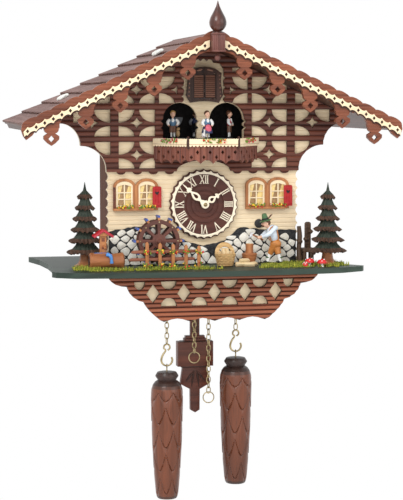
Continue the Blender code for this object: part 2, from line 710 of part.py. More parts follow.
def make_woodcutter():
    """A figure that leans to the left, with both feet on a small base."""
    floor = PLATFORM_TOP + GAP
    x, y = WOODCUTTER_X, WOODCUTTER_Y
    base = box("woodcutter", (x - 8.5, y - 4.5, floor), (x + 10, y + 4.5, floor + 1.5), GREEN)
    legs = [rod("leg", (x + dx, y, floor + 1), (x + 3, y, floor + 19), 2.6, HONEY, 8) for dx in (-5, 7)]
    hips = ball("hips", (x + 2.5, y, floor + 19), (6, 5, 5), HONEY)
    chest = ball("chest", (x - 0.5, y, floor + 29), (5.6, 5.2, 9), WHITE)
    neck = rod("neck", (x - 2, y, floor + 34), (x - 7, y, floor + 38.5), 2.2, HONEY, 8)
    head = ball("head", (x - 7, y, floor + 38.5), (4, 4, 4.4), HONEY)
    hat = [(0, 7.5), (2.6, 7), (3.4, 3), (6.2, 2.2), (6.2, 1.2), (0, 1.2)]
    brim = as_mesh(turned("hat", hat, (x - 7.6, y, floor + 40), GREEN, 12, (0, math.radians(-14), 0)))
    union(base, *[as_mesh(leg) for leg in legs], hips, chest, as_mesh(neck), head, brim)


def make_woodcutter_arms():
    """Two arms that meet at the hands in front of the body, and the axe that they hold."""
    sx, sy, sz = SHOULDER
    hand = (sx - 15, sy, sz - 9.5)
    arms = as_mesh(wire("woodcutter_arms", [(sx, sy - 7.4, sz), (sx - 8, sy - 7.2, sz - 6.5),
                                            (hand[0] + 1, sy - 2, hand[2] + 0.4), hand,
                                            (hand[0] + 1, sy + 2, hand[2] + 0.4), (sx - 8, sy + 7.2, sz - 6.5),
                                            (sx, sy + 7.4, sz)], 1.7, WHITE))
    shaft = rod("axe_shaft", (hand[0] + 3, sy, hand[2] - 1.5), (hand[0] - 8, sy, hand[2] + 4), 0.8, HONEY, 8)
    blade = box("axe_blade", (hand[0] - 9.5, sy - 0.9, hand[2] + 0.2), (hand[0] - 5.5, sy + 0.9, hand[2] + 5.2), STEEL)
    union(arms, as_mesh(shaft), blade)
    set_origin(arms, SHOULDER)


def make_water_wheel():
    front, width = -171.0, 13.0
    y = front + width / 2
    rim = [(19.5, 6.5), (19.5, -6.5), (17, -6.5), (17, 6.5)]
    wheel = turned("water_wheel", rim, (WHEEL_X, y, WHEEL_Z), WALNUT, 24, (math.pi / 2, 0, 0), closed=True)
    wheel = as_mesh(wheel)
    hub = rod("wheel_hub", (WHEEL_X, front - 1, WHEEL_Z), (WHEEL_X, front + width + 1, WHEEL_Z), 4, WALNUT)
    axle = rod("wheel_axle", (WHEEL_X, front, WHEEL_Z), (WHEEL_X, -134, WHEEL_Z), 1.6, STEEL, 10)
    extras = [as_mesh(hub), as_mesh(axle)]
    centre = Vector((WHEEL_X, y, WHEEL_Z))
    for i in range(4):
        spoke = box("spoke", (-18, -1.3, -1.3), (18, 1.3, 1.3), WALNUT)
        place_turned(spoke, centre, 45 * i)
        extras.append(spoke)
    for i in range(12):
        paddle = box("paddle", (17.8, -5.8, -0.7), (WHEEL_R, 5.8, 0.7), WALNUT)
        place_turned(paddle, centre, 30 * i + 15)
        extras.append(paddle)
    union(wheel, *extras)
    set_origin(wheel, centre)


def place_turned(obj, centre, angle):
    """Put an object made about the origin at a centre, turned about the Y axis."""
    turn = Matrix.Rotation(math.radians(angle), 4, "Y")
    obj.data.transform(Matrix.Translation(centre * MM) @ turn)


# ---------------------------------------------------------------- pendulum, chains and weights

def make_pendulum():
    y, z = PENDULUM_Y, PENDULUM_Z
    rod_board = board("pendulum", [(-3, -216), (3, -216), (4.2, z - 6), *arc(0, z, 4.2, 4.2, 0, 180, 6),
                                   (-4.2, z - 6)], y - 2, 4, WALNUT, [arc(0, z, 1.7, 1.7, 0, 315, 7)])
    blocks = [box("upper_block", (-10.3, y - 4, -231.6), (10.3, y + 4, -226), WALNUT),
              box("bob_block", (-17.2, y - 6, -256), (17.2, y + 6, -232), WALNUT)]
    leaf = board("leaf", mirrored([(0, -255), (13, -255), (12, -262), (8, -268), (8.5, -272), (4, -278),
                                   (4.4, -284), (3.6, -292), (0, -301.6)]), y - 3.5, 7, WALNUT)
    neck = box("rod_neck", (-4.2, y - 2, -234), (4.2, y + 2, -214), WALNUT)
    pendulum = as_mesh(rod_board)
    union(pendulum, neck, *blocks, as_mesh(leaf))
    set_origin(pendulum, (0, y, z))


def hook_path(x, top, bottom):
    """An S-shaped hook between two heights, in the plane of the clock's front."""
    radius = (top - bottom) / 4
    middle = (top + bottom) / 2
    upper = arc(x, middle + radius, radius, radius, 150, -90, 6)
    lower = arc(x, middle - radius, radius, radius, 90, 330, 6)[1:]
    return [(u, CHAIN_Y, v) for u, v in upper + lower]


def make_chain(name, x, bottom, end):
    """A run of chain with a cross pin that rests on the platform, and its end piece."""
    chain = as_mesh(rod(name, (x, CHAIN_Y, bottom), (x, CHAIN_Y, CHAIN_PIVOT_Z), 1.1, BRASS, 8))
    pin = rod("cross_pin", (x - 4.8, CHAIN_Y, CHAIN_PIVOT_Z), (x + 4.8, CHAIN_Y, CHAIN_PIVOT_Z), 1.2, STEEL, 8)
    union(chain, as_mesh(pin), as_mesh(end))
    set_origin(chain, (x, CHAIN_Y, CHAIN_PIVOT_Z))


WEIGHT_TOPS = {"left": -255.5, "right": -243.9}
EYE_PIVOT = 6.5  # the hook's wire runs through the weight's eye this far above its cap


def make_weights():
    for name, side in (("left", -1), ("right", 1)):
        x, cap = side * CHAIN_X, WEIGHT_TOPS[name]
        hook_top, hook_bottom = cap + 27, cap + EYE_PIVOT
        hook = wire("hook", hook_path(x, hook_top, hook_bottom), 1.0, BRASS)
        make_chain("weight_chain_" + name, x, hook_top - 0.5, hook)
        profile = [(0, 0), (8.6, 0), (10.2, -1.5), (10.4, -5), (12.6, -9), (15.2, -16), (15.5, -30),
                   (14.2, -70), (12.2, -100), (10.4, -119), (8.6, -122), (0, -122)]
        weight = as_mesh(turned("pinecone_weight_" + name, profile, (x, CHAIN_Y, cap), WALNUT, 14))
        eye = wire("eye", [(x, CHAIN_Y + u, cap + 5.4 + v) for u, v in arc(0, 0, 3.0, 3.2, 0, 315, 7)], 0.8,
                   BRASS, cyclic=True)
        shank = rod("eye_shank", (x, CHAIN_Y, cap - 1), (x, CHAIN_Y, cap + 2.4), 1.1, BRASS, 8)
        union(weight, as_mesh(shank), as_mesh(eye))
        set_origin(weight, (x, CHAIN_Y, cap + EYE_PIVOT))


def make_ring_chains():
    for name, side, ring_top in (("left", -1, -236.9), ("right", 1, -275.7)):
        x = side * RING_X
        ring = wire("pull_ring", [(u, CHAIN_Y, v) for u, v in arc(x, ring_top - 6, 5.2, 5.2, 0, 330, 11)], 0.8,
                    BRASS, cyclic=True)
        make_chain("ring_chain_" + name, x, ring_top - 1, ring)


def main():
    make_roof()
    make_facade()
    make_timber_overlay()
    make_stone_plinth()
    make_walls()
    make_back()
    make_platform()
    make_apron()
    make_window("window_left", -85.3, 36.3, 8.5)
    make_window("window_right", 40.1, 37.2, 7.9)
    make_dial()
    make_hand("minute_hand", 30, 3.4, -48, HAND_Y, (0, 1.3, -146))
    make_hand("hour_hand", 21, 3.8, 56, HAND_Y + 1.9, (1.6, 2.1, -146))
    make_movement()
    make_sound_parts()
    make_cuckoo_frame()
    make_cuckoo_doors()
    make_cuckoo()
    make_carousel()
    make_balcony()
    make_trees()
    make_fountain()
    make_fence()
    make_yard()
    make_woodcutter()
    make_woodcutter_arms()
    make_water_wheel()
    make_pendulum()
    make_weights()
    make_ring_chains()


main()
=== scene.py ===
"""Looks of a wall-hung chalet cuckoo clock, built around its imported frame.

Sizes are in millimetres and MM turns them into metres. X points to the right of someone facing the
clock, Y points at the wall and Z points up. Every piece is made where the frame says it is.
"""
import functools
import logging
import math
import random
from collections.abc import Callable, Iterable, Sequence
from dataclasses import dataclass, field
from enum import Enum

import bmesh
import bpy
from mathutils import Matrix, Vector, noise


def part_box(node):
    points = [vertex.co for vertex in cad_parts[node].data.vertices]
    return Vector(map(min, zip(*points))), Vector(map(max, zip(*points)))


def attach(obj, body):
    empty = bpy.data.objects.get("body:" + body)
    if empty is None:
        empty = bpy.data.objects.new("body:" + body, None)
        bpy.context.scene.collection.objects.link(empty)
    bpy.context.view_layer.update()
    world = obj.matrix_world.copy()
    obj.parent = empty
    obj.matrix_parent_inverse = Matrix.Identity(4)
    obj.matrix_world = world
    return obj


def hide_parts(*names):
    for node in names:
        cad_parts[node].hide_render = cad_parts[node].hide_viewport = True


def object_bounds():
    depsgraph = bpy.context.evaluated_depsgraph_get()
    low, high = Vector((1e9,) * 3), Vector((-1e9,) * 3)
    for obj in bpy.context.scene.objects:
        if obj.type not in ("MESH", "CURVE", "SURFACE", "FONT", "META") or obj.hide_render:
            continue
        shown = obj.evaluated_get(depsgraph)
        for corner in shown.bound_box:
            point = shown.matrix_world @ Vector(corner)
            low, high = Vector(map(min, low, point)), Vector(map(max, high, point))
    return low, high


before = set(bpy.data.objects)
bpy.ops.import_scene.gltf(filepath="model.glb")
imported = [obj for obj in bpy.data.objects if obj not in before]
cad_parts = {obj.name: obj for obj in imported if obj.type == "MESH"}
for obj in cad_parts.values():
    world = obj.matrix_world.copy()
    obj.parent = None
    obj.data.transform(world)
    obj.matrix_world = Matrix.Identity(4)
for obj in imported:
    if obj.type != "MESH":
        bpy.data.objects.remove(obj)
CAD_LOW, CAD_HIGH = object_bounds()

LOG = logging.getLogger("cuckoo_clock")
MM = 0.001
WELD = 2e-6
SPECULAR = 0.28

Point2 = tuple[float, float]
Outline = list[Point2]
Colour = tuple[float, float, float]
Socket = bpy.types.NodeSocket
Object = bpy.types.Object

# Places that several sub-assemblies share, in millimetres.
GROUND = -153.2
DIAL_CENTRE: Point2 = (0.0, -97.1)
WHEEL_AXLE: Point2 = (-46.5, -129.0)


class Grain(Enum):
    """Which way the fibres of a piece run."""

    ACROSS = (0.05, 1.0, 1.0)
    DEEP = (1.0, 0.05, 1.0)
    UPRIGHT = (1.0, 1.0, 0.05)


class Plane(Enum):
    """The plane that a flat board is cut in."""

    UPRIGHT = Matrix.Rotation(math.pi / 2, 4, "X").freeze()
    LEVEL = Matrix.Identity(4).freeze()


# ---------------------------------------------------------------- finishes

class Recipe:
    """The node tree of one finish while it is being put together."""

    def __init__(self, name: str, roughness: float, metallic: float = 0.0, coat: float = 0.0) -> None:
        """Start a material whose even values sit on the shader itself."""
        self.material = bpy.data.materials.new(name)
        self.material.use_nodes = True
        self.tree = self.material.node_tree
        self.shader = self.tree.nodes["Principled BSDF"]
        self.shader.inputs["Roughness"].default_value = roughness
        self.shader.inputs["Metallic"].default_value = metallic
        self.shader.inputs["Coat Weight"].default_value = coat
        self.shader.inputs["Coat Roughness"].default_value = 0.25
        self.place = self.tree.nodes.new("ShaderNodeTexCoord").outputs["Object"]

    def stretched(self, scale: Sequence[float]) -> Socket:
        """Return object coordinates multiplied by a scale on each axis."""
        node = self.tree.nodes.new("ShaderNodeMapping")
        node.inputs["Scale"].default_value = scale
        self.tree.links.new(self.place, node.inputs["Vector"])
        return node.outputs["Vector"]

    def noise(self, vector: Socket, scale: float, detail: float = 4.0, distortion: float = 0.0) -> Socket:
        """Return a fractal noise value.

        Args:
            vector: Coordinates to sample.
            scale: Blotches per metre.
            detail: Octaves of finer noise.
            distortion: How far the noise is warped by itself.

        Returns:
            The value's socket, from 0 to 1.
        """
        node = self.tree.nodes.new("ShaderNodeTexNoise")
        node.inputs["Scale"].default_value = scale
        node.inputs["Detail"].default_value = detail
        node.inputs["Distortion"].default_value = distortion
        self.tree.links.new(vector, node.inputs["Vector"])
        return node.outputs["Fac"]

    def ramp(self, value: Socket, stops: Sequence[tuple[float, Colour]]) -> Socket:
        """Return a colour read from stops along a value."""
        node = self.tree.nodes.new("ShaderNodeValToRGB")
        elements = node.color_ramp.elements
        while len(elements) < len(stops):
            elements.new(0.5)
        for element, (position, colour) in zip(elements, stops):
            element.position = position
            element.color = (*colour, 1.0)
        self.tree.links.new(value, node.inputs["Fac"])
        return node.outputs["Color"]

    def span(self, value: Socket, low: float, high: float, to_low: float, to_high: float) -> Socket:
        """Return a value stretched from one span to another and clamped."""
        node = self.tree.nodes.new("ShaderNodeMapRange")
        for name, number in (("From Min", low), ("From Max", high), ("To Min", to_low), ("To Max", to_high)):
            node.inputs[name].default_value = number
        self.tree.links.new(value, node.inputs["Value"])
        return node.outputs["Result"]

    def blend(self, factor: Socket | float, first: Socket | Colour, second: Socket | Colour,
              mode: str = "MIX") -> Socket:
        """Return two colours mixed by a factor."""
        node = self.tree.nodes.new("ShaderNodeMix")
        node.data_type = "RGBA"
        node.blend_type = mode
        for slot, value in ((0, factor), (6, first), (7, second)):
            if isinstance(value, bpy.types.NodeSocket):
                self.tree.links.new(value, node.inputs[slot])
            elif slot:
                node.inputs[slot].default_value = (*value, 1.0)
            else:
                node.inputs[slot].default_value = value
        return node.outputs[2]

    def finish(self, colour: Socket, height: Socket, depth: float,
               strength: float = 0.6) -> bpy.types.Material:
        """Connect the colour and a bump, and return the material.

        Args:
            colour: The surface's colour.
            height: The bump's height value.
            depth: How deep a full step of the height is, in millimetres.
            strength: How much of the bump shows.

        Returns:
            The finished material.
        """
        self.shader.inputs["Specular IOR Level"].default_value = SPECULAR
        self.tree.links.new(colour, self.shader.inputs["Base Color"])
        bump = self.tree.nodes.new("ShaderNodeBump")
        bump.inputs["Strength"].default_value = strength
        bump.inputs["Distance"].default_value = depth * MM
        self.tree.links.new(height, bump.inputs["Height"])
        self.tree.links.new(bump.outputs["Normal"], self.shader.inputs["Normal"])
        return self.material


@dataclass(frozen=True)
class StainedWood:
    """Wood with a grain: long soft bands, fine fibres and darker pores."""

    name: str
    light: Colour
    dark: Colour
    grain: Grain = Grain.ACROSS
    bands: float = 170.0
    pores: float = 0.35
    roughness: float = 0.48
    coat: float = 0.12
    depth: float = 0.12

    def material(self) -> bpy.types.Material:
        """Return the wood's material."""
        recipe = Recipe(self.name, self.roughness, coat=self.coat)
        along = recipe.stretched(self.grain.value)
        band = recipe.noise(along, self.bands, 5.0, 0.8)
        fibre = recipe.noise(along, self.bands * 9, 3.0, 0.2)
        cloud = recipe.noise(recipe.place, 28.0, 2.0)
        middle = tuple((a + b) / 2 for a, b in zip(self.light, self.dark))
        base = recipe.ramp(band, ((0.28, self.dark), (0.5, middle), (0.72, self.light)))
        pore = recipe.span(fibre, 0.52, 0.72, 0.0, self.pores)
        deep = tuple(c * 0.35 for c in self.dark)
        grained = recipe.blend(pore, base, deep)
        shade = recipe.ramp(cloud, ((0.3, (0.82, 0.8, 0.78)), (0.7, (1.0, 1.0, 1.0))))
        toned = recipe.blend(0.7, grained, shade, "MULTIPLY")
        return recipe.finish(toned, fibre, self.depth)


@dataclass(frozen=True)
class Paint:
    """Hand-laid paint: slightly uneven, with faint brush marks."""

    name: str
    colour: Colour
    uneven: float = 0.22
    roughness: float = 0.45
    coat: float = 0.1
    depth: float = 0.05
    blotch: float = 320.0

    def material(self) -> bpy.types.Material:
        """Return the paint's material."""
        recipe = Recipe(self.name, self.roughness, coat=self.coat)
        cloud = recipe.noise(recipe.place, self.blotch, 4.0, 0.4)
        brush = recipe.noise(recipe.stretched((1.0, 1.0, 0.3)), self.blotch * 6, 2.0)
        low = tuple(c * (1 - self.uneven) for c in self.colour)
        high = tuple(min(1.0, c * (1 + self.uneven * 0.5) + 0.01) for c in self.colour)
        colour = recipe.ramp(cloud, ((0.3, low), (0.5, self.colour), (0.7, high)))
        return recipe.finish(colour, brush, self.depth)


@dataclass(frozen=True)
class Speckled:
    """A matt surface of one colour broken by spots of two others, such as moss or stone."""

    name: str
    base: Colour
    spot: Colour
    fleck: Colour
    size: float = 500.0
    roughness: float = 0.8
    depth: float = 0.3

    def material(self) -> bpy.types.Material:
        """Return the speckled material."""
        recipe = Recipe(self.name, self.roughness)
        coarse = recipe.noise(recipe.place, self.size, 3.0, 0.3)
        fine = recipe.noise(recipe.place, self.size * 3.1, 2.0)
        colour = recipe.blend(recipe.span(coarse, 0.45, 0.6, 0.0, 1.0), self.base, self.spot)
        flecked = recipe.blend(recipe.span(fine, 0.56, 0.66, 0.0, 0.9), colour, self.fleck)
        return recipe.finish(flecked, fine, self.depth)


@dataclass(frozen=True)
class Metal:
    """Bare metal with a little tarnish in patches."""

    name: str
    bright: Colour
    tarnish: Colour
    roughness: float = 0.3
    brushed: Grain = Grain.ACROSS

    def material(self) -> bpy.types.Material:
        """Return the metal's material."""
        recipe = Recipe(self.name, self.roughness, metallic=1.0)
        cloud = recipe.noise(recipe.place, 240.0, 4.0, 0.5)
        lines = recipe.noise(recipe.stretched(self.brushed.value), 2600.0, 2.0)
        colour = recipe.ramp(cloud, ((0.32, self.tarnish), (0.58, self.bright)))
        return recipe.finish(colour, lines, 0.02, 0.35)


@dataclass(frozen=True)
class Moulded:
    """Moulded plastic with a fine sparked texture."""

    name: str
    colour: Colour
    roughness: float = 0.5

    def material(self) -> bpy.types.Material:
        """Return the plastic's material."""
        recipe = Recipe(self.name, self.roughness)
        spark = recipe.noise(recipe.place, 2400.0, 2.0)
        cloud = recipe.noise(recipe.place, 60.0, 2.0)
        low = tuple(c * 0.8 for c in self.colour)
        high = tuple(min(1.0, c * 1.15 + 0.004) for c in self.colour)
        return recipe.finish(recipe.ramp(cloud, ((0.35, low), (0.65, high))), spark, 0.03)


Look = StainedWood | Paint | Speckled | Metal | Moulded

CLAPBOARD = StainedWood("clapboard_limewood", (0.90, 0.755, 0.53), (0.80, 0.63, 0.41), bands=60, pores=0.06,
                        coat=0.0)
CREAM_CARVING = StainedWood("cream_carving", (0.94, 0.80, 0.56), (0.84, 0.66, 0.42), bands=150, pores=0.08)
CREAM_DIAL = Paint("cream_dial_parts", (0.90, 0.80, 0.62), 0.08, 0.4)
LATTICE_WOOD = StainedWood("lattice_wood", (0.225, 0.062, 0.032), (0.070, 0.020, 0.012), bands=140,
                           roughness=0.42, coat=0.12)
# Painted shade: a darker colour for the faces deep in milled grooves.
GROOVE_SHADE = StainedWood("groove_painted_shade", (0.105, 0.028, 0.016), (0.038, 0.012, 0.008), bands=140,
                           coat=0.0)
BARGE_WOOD = StainedWood("barge_wood", (0.31, 0.095, 0.044), (0.11, 0.031, 0.016), bands=150, roughness=0.42,
                         coat=0.1)
APRON_WOOD = StainedWood("apron_wood", (0.36, 0.110, 0.047), (0.15, 0.040, 0.019), bands=110, roughness=0.34,
                         coat=0.2)
# Dark wood for parts that are dark, and painted shade where it stands for the shadow under the barge ribbons,
# behind the louvres and in the pendulum's carvings.
DARK_WOOD_AND_SHADE = StainedWood("dark_wood_and_painted_shade", (0.075, 0.026, 0.016), (0.03, 0.012, 0.009), bands=150)
PICKET_WOOD = StainedWood("picket_wood", (0.27, 0.085, 0.050), (0.095, 0.03, 0.022), Grain.UPRIGHT, 260,
                          coat=0.2)
CASE_WOOD = StainedWood("case_wood", (0.17, 0.062, 0.028), (0.075, 0.026, 0.014), Grain.UPRIGHT, 90,
                        roughness=0.8, coat=0.0)
ROOF_WOOD = StainedWood("roof_board_wood", (0.12, 0.045, 0.026), (0.05, 0.02, 0.013), Grain.DEEP, 100)
DIAL_WOOD = StainedWood("dial_wood", (0.110, 0.031, 0.019), (0.062, 0.017, 0.011), bands=200, roughness=0.45,
                        coat=0.05)
HATCH_WOOD = StainedWood("hatch_wood", (0.095, 0.046, 0.034), (0.034, 0.019, 0.015), Grain.UPRIGHT, 220,
                         coat=0.0)
# Mid brown wood, lighter than the hatch wood: a painted highlight on the louvre slats; also the surround's
# dots and leaves and the line on the balcony rail.
MID_BROWN_AND_HIGHLIGHT = StainedWood("mid_brown_wood_and_painted_highlight", (0.36, 0.185, 0.125), (0.20, 0.090, 0.060), bands=240, coat=0.0)
POST_WOOD = StainedWood("post_wood", (0.20, 0.075, 0.060), (0.075, 0.028, 0.022), Grain.UPRIGHT, 240)
ONION_WOOD = StainedWood("onion_wood", (0.13, 0.035, 0.020), (0.028, 0.012, 0.010), Grain.UPRIGHT, 120,
                         roughness=0.3, coat=0.5)
CONE_WOOD = StainedWood("cone_wood", (0.185, 0.052, 0.021), (0.075, 0.022, 0.010), Grain.UPRIGHT, 90,
                        roughness=0.3, coat=0.35)
CONE_SHOULDER = StainedWood("cone_shoulder", (0.10, 0.034, 0.018), (0.035, 0.014, 0.009), Grain.UPRIGHT, 90,
                            roughness=0.33,
                            coat=0.3)
CONE_CAP = StainedWood("cone_cap_wood", (0.050, 0.022, 0.016), (0.014, 0.008, 0.007), Grain.UPRIGHT, 90,
                       coat=0.25)
PENDULUM_WOOD = StainedWood("pendulum_wood", (0.185, 0.050, 0.026), (0.065, 0.018, 0.011), Grain.ACROSS, 110,
                            coat=0.2)
HONEY_WOOD = StainedWood("honey_wood", (0.56, 0.24, 0.085), (0.33, 0.115, 0.038), Grain.UPRIGHT, 200)
HONEY_LOG = StainedWood("honey_log", (0.50, 0.20, 0.075), (0.26, 0.085, 0.030), Grain.ACROSS, 160)
FRESH_WOOD = StainedWood("fresh_split_wood", (0.86, 0.72, 0.46), (0.66, 0.47, 0.24), Grain.ACROSS, 260)
RAIL_WOOD = StainedWood("fence_rail_wood", (0.33, 0.115, 0.060), (0.15, 0.048, 0.028), bands=200)
WICKER = StainedWood("wicker", (0.78, 0.55, 0.26), (0.45, 0.25, 0.09), Grain.ACROSS, 420, roughness=0.5)
WHEEL_WOOD = StainedWood("wheel_wood", (0.15, 0.050, 0.034), (0.065, 0.022, 0.016), bands=220)
BENCH_WOOD = StainedWood("bench_wood", (0.15, 0.085, 0.045), (0.045, 0.026, 0.017), Grain.UPRIGHT, 260)
SHINGLE_WOOD = StainedWood("shingle_wood", (0.27, 0.165, 0.150), (0.125, 0.070, 0.062), Grain.DEEP, 90,
                           roughness=0.8,
                           coat=0.0, depth=0.25)
SHINGLE_EDGE = StainedWood("shingle_edge_wood", (0.15, 0.060, 0.036), (0.06, 0.026, 0.018), Grain.DEEP, 140)
BLACK_WALL = Speckled("black_mortar", (0.018, 0.018, 0.02), (0.035, 0.036, 0.038), (0.06, 0.06, 0.06), 300)
WHITE_STONE = Speckled("white_stone", (0.84, 0.81, 0.72), (0.74, 0.70, 0.60), (0.90, 0.89, 0.84), 260, 0.6,
                       0.15)
ROOF_STONE = Speckled("roof_stone", (0.72, 0.72, 0.68), (0.56, 0.57, 0.54), (0.85, 0.85, 0.82), 200, 0.7, 0.3)
PLATFORM_PAINT = StainedWood("platform_paint", (0.036, 0.060, 0.044), (0.014, 0.024, 0.018), Grain.ACROSS, 70,
                             0.2, 0.5,
                             0.06)
MOSS = Speckled("moss", (0.13, 0.16, 0.015), (0.36, 0.33, 0.03), (0.045, 0.075, 0.01), 900, 0.9, 0.5)
GRASS = Speckled("grass_blades", (0.20, 0.26, 0.03), (0.52, 0.48, 0.07), (0.08, 0.13, 0.02), 700, 0.8, 0.1)
LEAF_GREEN = Speckled("leaf_green", (0.10, 0.20, 0.02), (0.24, 0.33, 0.05), (0.03, 0.08, 0.01), 1500, 0.6,
                      0.1)
SPRUCE_STAIN = StainedWood("spruce_stain", (0.052, 0.062, 0.044), (0.012, 0.024, 0.018), Grain.UPRIGHT, 420,
                           0.55, 0.6,
                           0.0, 0.5)
SPRUCE_HEM = StainedWood("spruce_hem", (0.125, 0.060, 0.036), (0.030, 0.020, 0.014), Grain.UPRIGHT, 420, 0.55,
                         0.6,
                         0.0, 0.5)
BRASS = Metal("brass_wire", (0.50, 0.40, 0.22), (0.24, 0.18, 0.09), 0.34)
STEEL = Metal("plain_steel", (0.62, 0.62, 0.64), (0.42, 0.42, 0.43), 0.3)
BLACK_PLASTIC = Moulded("black_plastic", (0.022, 0.022, 0.024))
GREY_PLASTIC = Moulded("grey_sleeve", (0.25, 0.26, 0.28), 0.3)
# Painted shade: a near-black colour that stands in for the dark inside of the case.
INSIDE_SHADE_PAINT = Paint("inside_painted_shade", (0.016, 0.013, 0.012), 0.3, 0.8, 0.0)
SKIN = Paint("figure_skin", (0.78, 0.47, 0.33), 0.08)
WHITE_PAINT = Paint("white_paint", (0.84, 0.84, 0.82), 0.07)
SHIRT_PAINT = Paint("shirt_paint", (0.68, 0.76, 0.84), 0.10)
SHUTTER_RED = Paint("shutter_red", (0.40, 0.012, 0.014), 0.25)
BLOOM_RED = Paint("bloom_red", (0.62, 0.02, 0.02), 0.2)
BLOOM_YELLOW = Paint("bloom_yellow", (0.85, 0.55, 0.05), 0.2)
BLOOM_PINK = Paint("bloom_pink", (0.72, 0.14, 0.20), 0.2)
CLOTH_BLUE = Paint("cloth_blue", (0.10, 0.20, 0.32), 0.2)
CLOTH_NAVY = Paint("cloth_navy", (0.035, 0.045, 0.12), 0.2)
CLOTH_RED = Paint("cloth_red", (0.45, 0.03, 0.05), 0.2)
CLOTH_BROWN = Paint("cloth_brown", (0.16, 0.08, 0.05), 0.2)
LEATHER_PAINT = Paint("leather_paint", (0.50, 0.19, 0.045), 0.2)
HAT_GREEN = Paint("hat_green", (0.06, 0.13, 0.05), 0.3)
HAIR_BLOND = Paint("hair_blond", (0.50, 0.30, 0.10), 0.25)
HAIR_BROWN = Paint("hair_brown", (0.11, 0.045, 0.022), 0.25)
FUR_TAN = Paint("fur_tan", (0.52, 0.34, 0.17), 0.25)
BLACK_PAINT = Paint("black_paint", (0.012, 0.012, 0.013), 0.2, 0.35)
WATER_BLUE = Paint("water_blue", (0.06, 0.22, 0.55), 0.15, 0.2, 0.4)
TIP_BLUE = Paint("tip_blue", (0.045, 0.10, 0.36), 0.2)
BIRD_BROWN = Paint("bird_brown", (0.20, 0.13, 0.08), 0.35)
BIRD_BREAST = Paint("bird_breast", (0.62, 0.55, 0.46), 0.2)
PANE_AMBER = Paint("amber_pane", (0.80, 0.60, 0.24), 0.25, 0.15, 0.4)
# Painted reflection: a darker diagonal band across each window pane.
PANE_REFLECTION_PAINT = Paint("pane_painted_reflection", (0.33, 0.19, 0.075), 0.3, 0.15, 0.4)
BEAK_ORANGE = Paint("beak_orange", (0.72, 0.28, 0.04), 0.1)


@functools.cache
def mixed(look: Look) -> bpy.types.Material:
    """Return the one material made for a finish."""
    return look.material()


# ---------------------------------------------------------------- mesh tools

def link(name: str, mesh: bpy.types.Mesh) -> Object:
    """Put a mesh in the scene as a named object."""
    piece = bpy.data.objects.new(name, mesh)
    bpy.context.scene.collection.objects.link(piece)
    return piece


def from_bmesh(name: str, bm: bmesh.types.BMesh) -> Object:
    """Turn a bmesh into a named object and free it."""
    mesh = bpy.data.meshes.new(name)
    bm.to_mesh(mesh)
    bm.free()
    return link(name, mesh)


def soften(piece: Object, angle: float = 35.0) -> Object:
    """Shade a piece smooth, apart from edges sharper than an angle in degrees."""
    piece.data.shade_smooth()
    piece.data.set_sharp_from_angle(angle=math.radians(angle))
    return piece


def baked(piece: Object, angle: float = 35.0) -> Object:
    """Replace a curve, or an object with modifiers, by its plain mesh.

    Args:
        piece: The object to bake; it is removed.
        angle: Edges sharper than this, in degrees, stay sharp.

    Returns:
        A mesh object of the same name and place, with welded seams.
    """
    bpy.context.view_layer.update()
    evaluated = piece.evaluated_get(bpy.context.evaluated_depsgraph_get())
    mesh = bpy.data.meshes.new_from_object(evaluated)
    mesh.transform(piece.matrix_world)
    name = piece.name
    bpy.data.objects.remove(piece, do_unlink=True)
    bm = bmesh.new()
    bm.from_mesh(mesh)
    bmesh.ops.remove_doubles(bm, verts=bm.verts, dist=WELD)
    bm.to_mesh(mesh)
    bm.free()
    mesh.name = name
    return soften(link(name, mesh), angle)


def joined(name: str, parts: Iterable[Object]) -> Object:
    """Join parts into one piece that keeps each part's own finish.

    Args:
        name: The new piece's name.
        parts: Mesh objects; all but the result are removed.

    Returns:
        The joined piece.
    """
    parts = list(parts)
    mesh = bpy.data.meshes.new(name)
    bm = bmesh.new()
    looks: list[bpy.types.Material] = []
    for part in parts:
        part.data.transform(part.matrix_world)
        first_face = len(bm.faces)
        bm.from_mesh(part.data)
        bm.faces.ensure_lookup_table()
        slots = list(part.data.materials) or [None]
        for face in bm.faces[first_face:]:
            look = slots[min(face.material_index, len(slots) - 1)]
            if look not in looks:
                looks.append(look)
            face.material_index = looks.index(look)
    bm.to_mesh(mesh)
    bm.free()
    for look in looks:
        mesh.materials.append(look)
    for part in parts:
        bpy.data.objects.remove(part, do_unlink=True)
    return link(name, mesh)


def dressed(piece: Object, look: Look) -> Object:
    """Give every face of a piece one finish."""
    piece.data.materials.clear()
    piece.data.materials.append(mixed(look))
    return piece


def shade_grooves(piece: Object, look: Look, front: float, depth: float) -> Object:
    """Paint shade on every face that lies deeper than the crests of a carved front.

    Args:
        piece: A dressed piece whose carved face looks to the front.
        look: The darker colour painted in as shade.
        front: The Y of its crests.
        depth: How far behind them the painted shade begins.

    Returns:
        The piece.
    """
    piece.data.materials.append(mixed(look))
    last = len(piece.data.materials) - 1
    for face in piece.data.polygons:
        if face.center.y / MM > front + depth:
            face.material_index = last
    return piece


class Kit(list[Object]):
    """Dressed parts on their way to becoming one piece."""

    def add(self, part: Object, look: Look) -> None:
        """Dress a part and put it with the others."""
        self.append(dressed(part, look))


def fitted(piece: Object, body: str = "case", stands_for: Sequence[str] = ()) -> Object:
    """Put a finished piece on its body and report it.

    Args:
        piece: The piece, already dressed and in place.
        body: The body that it moves with.
        stands_for: The frame's nodes that it replaces.

    Returns:
        The same piece.
    """
    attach(piece, body)
    if stands_for:
        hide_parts(*stands_for)
    LOG.info("%s on %s", piece.name, body)
    return piece


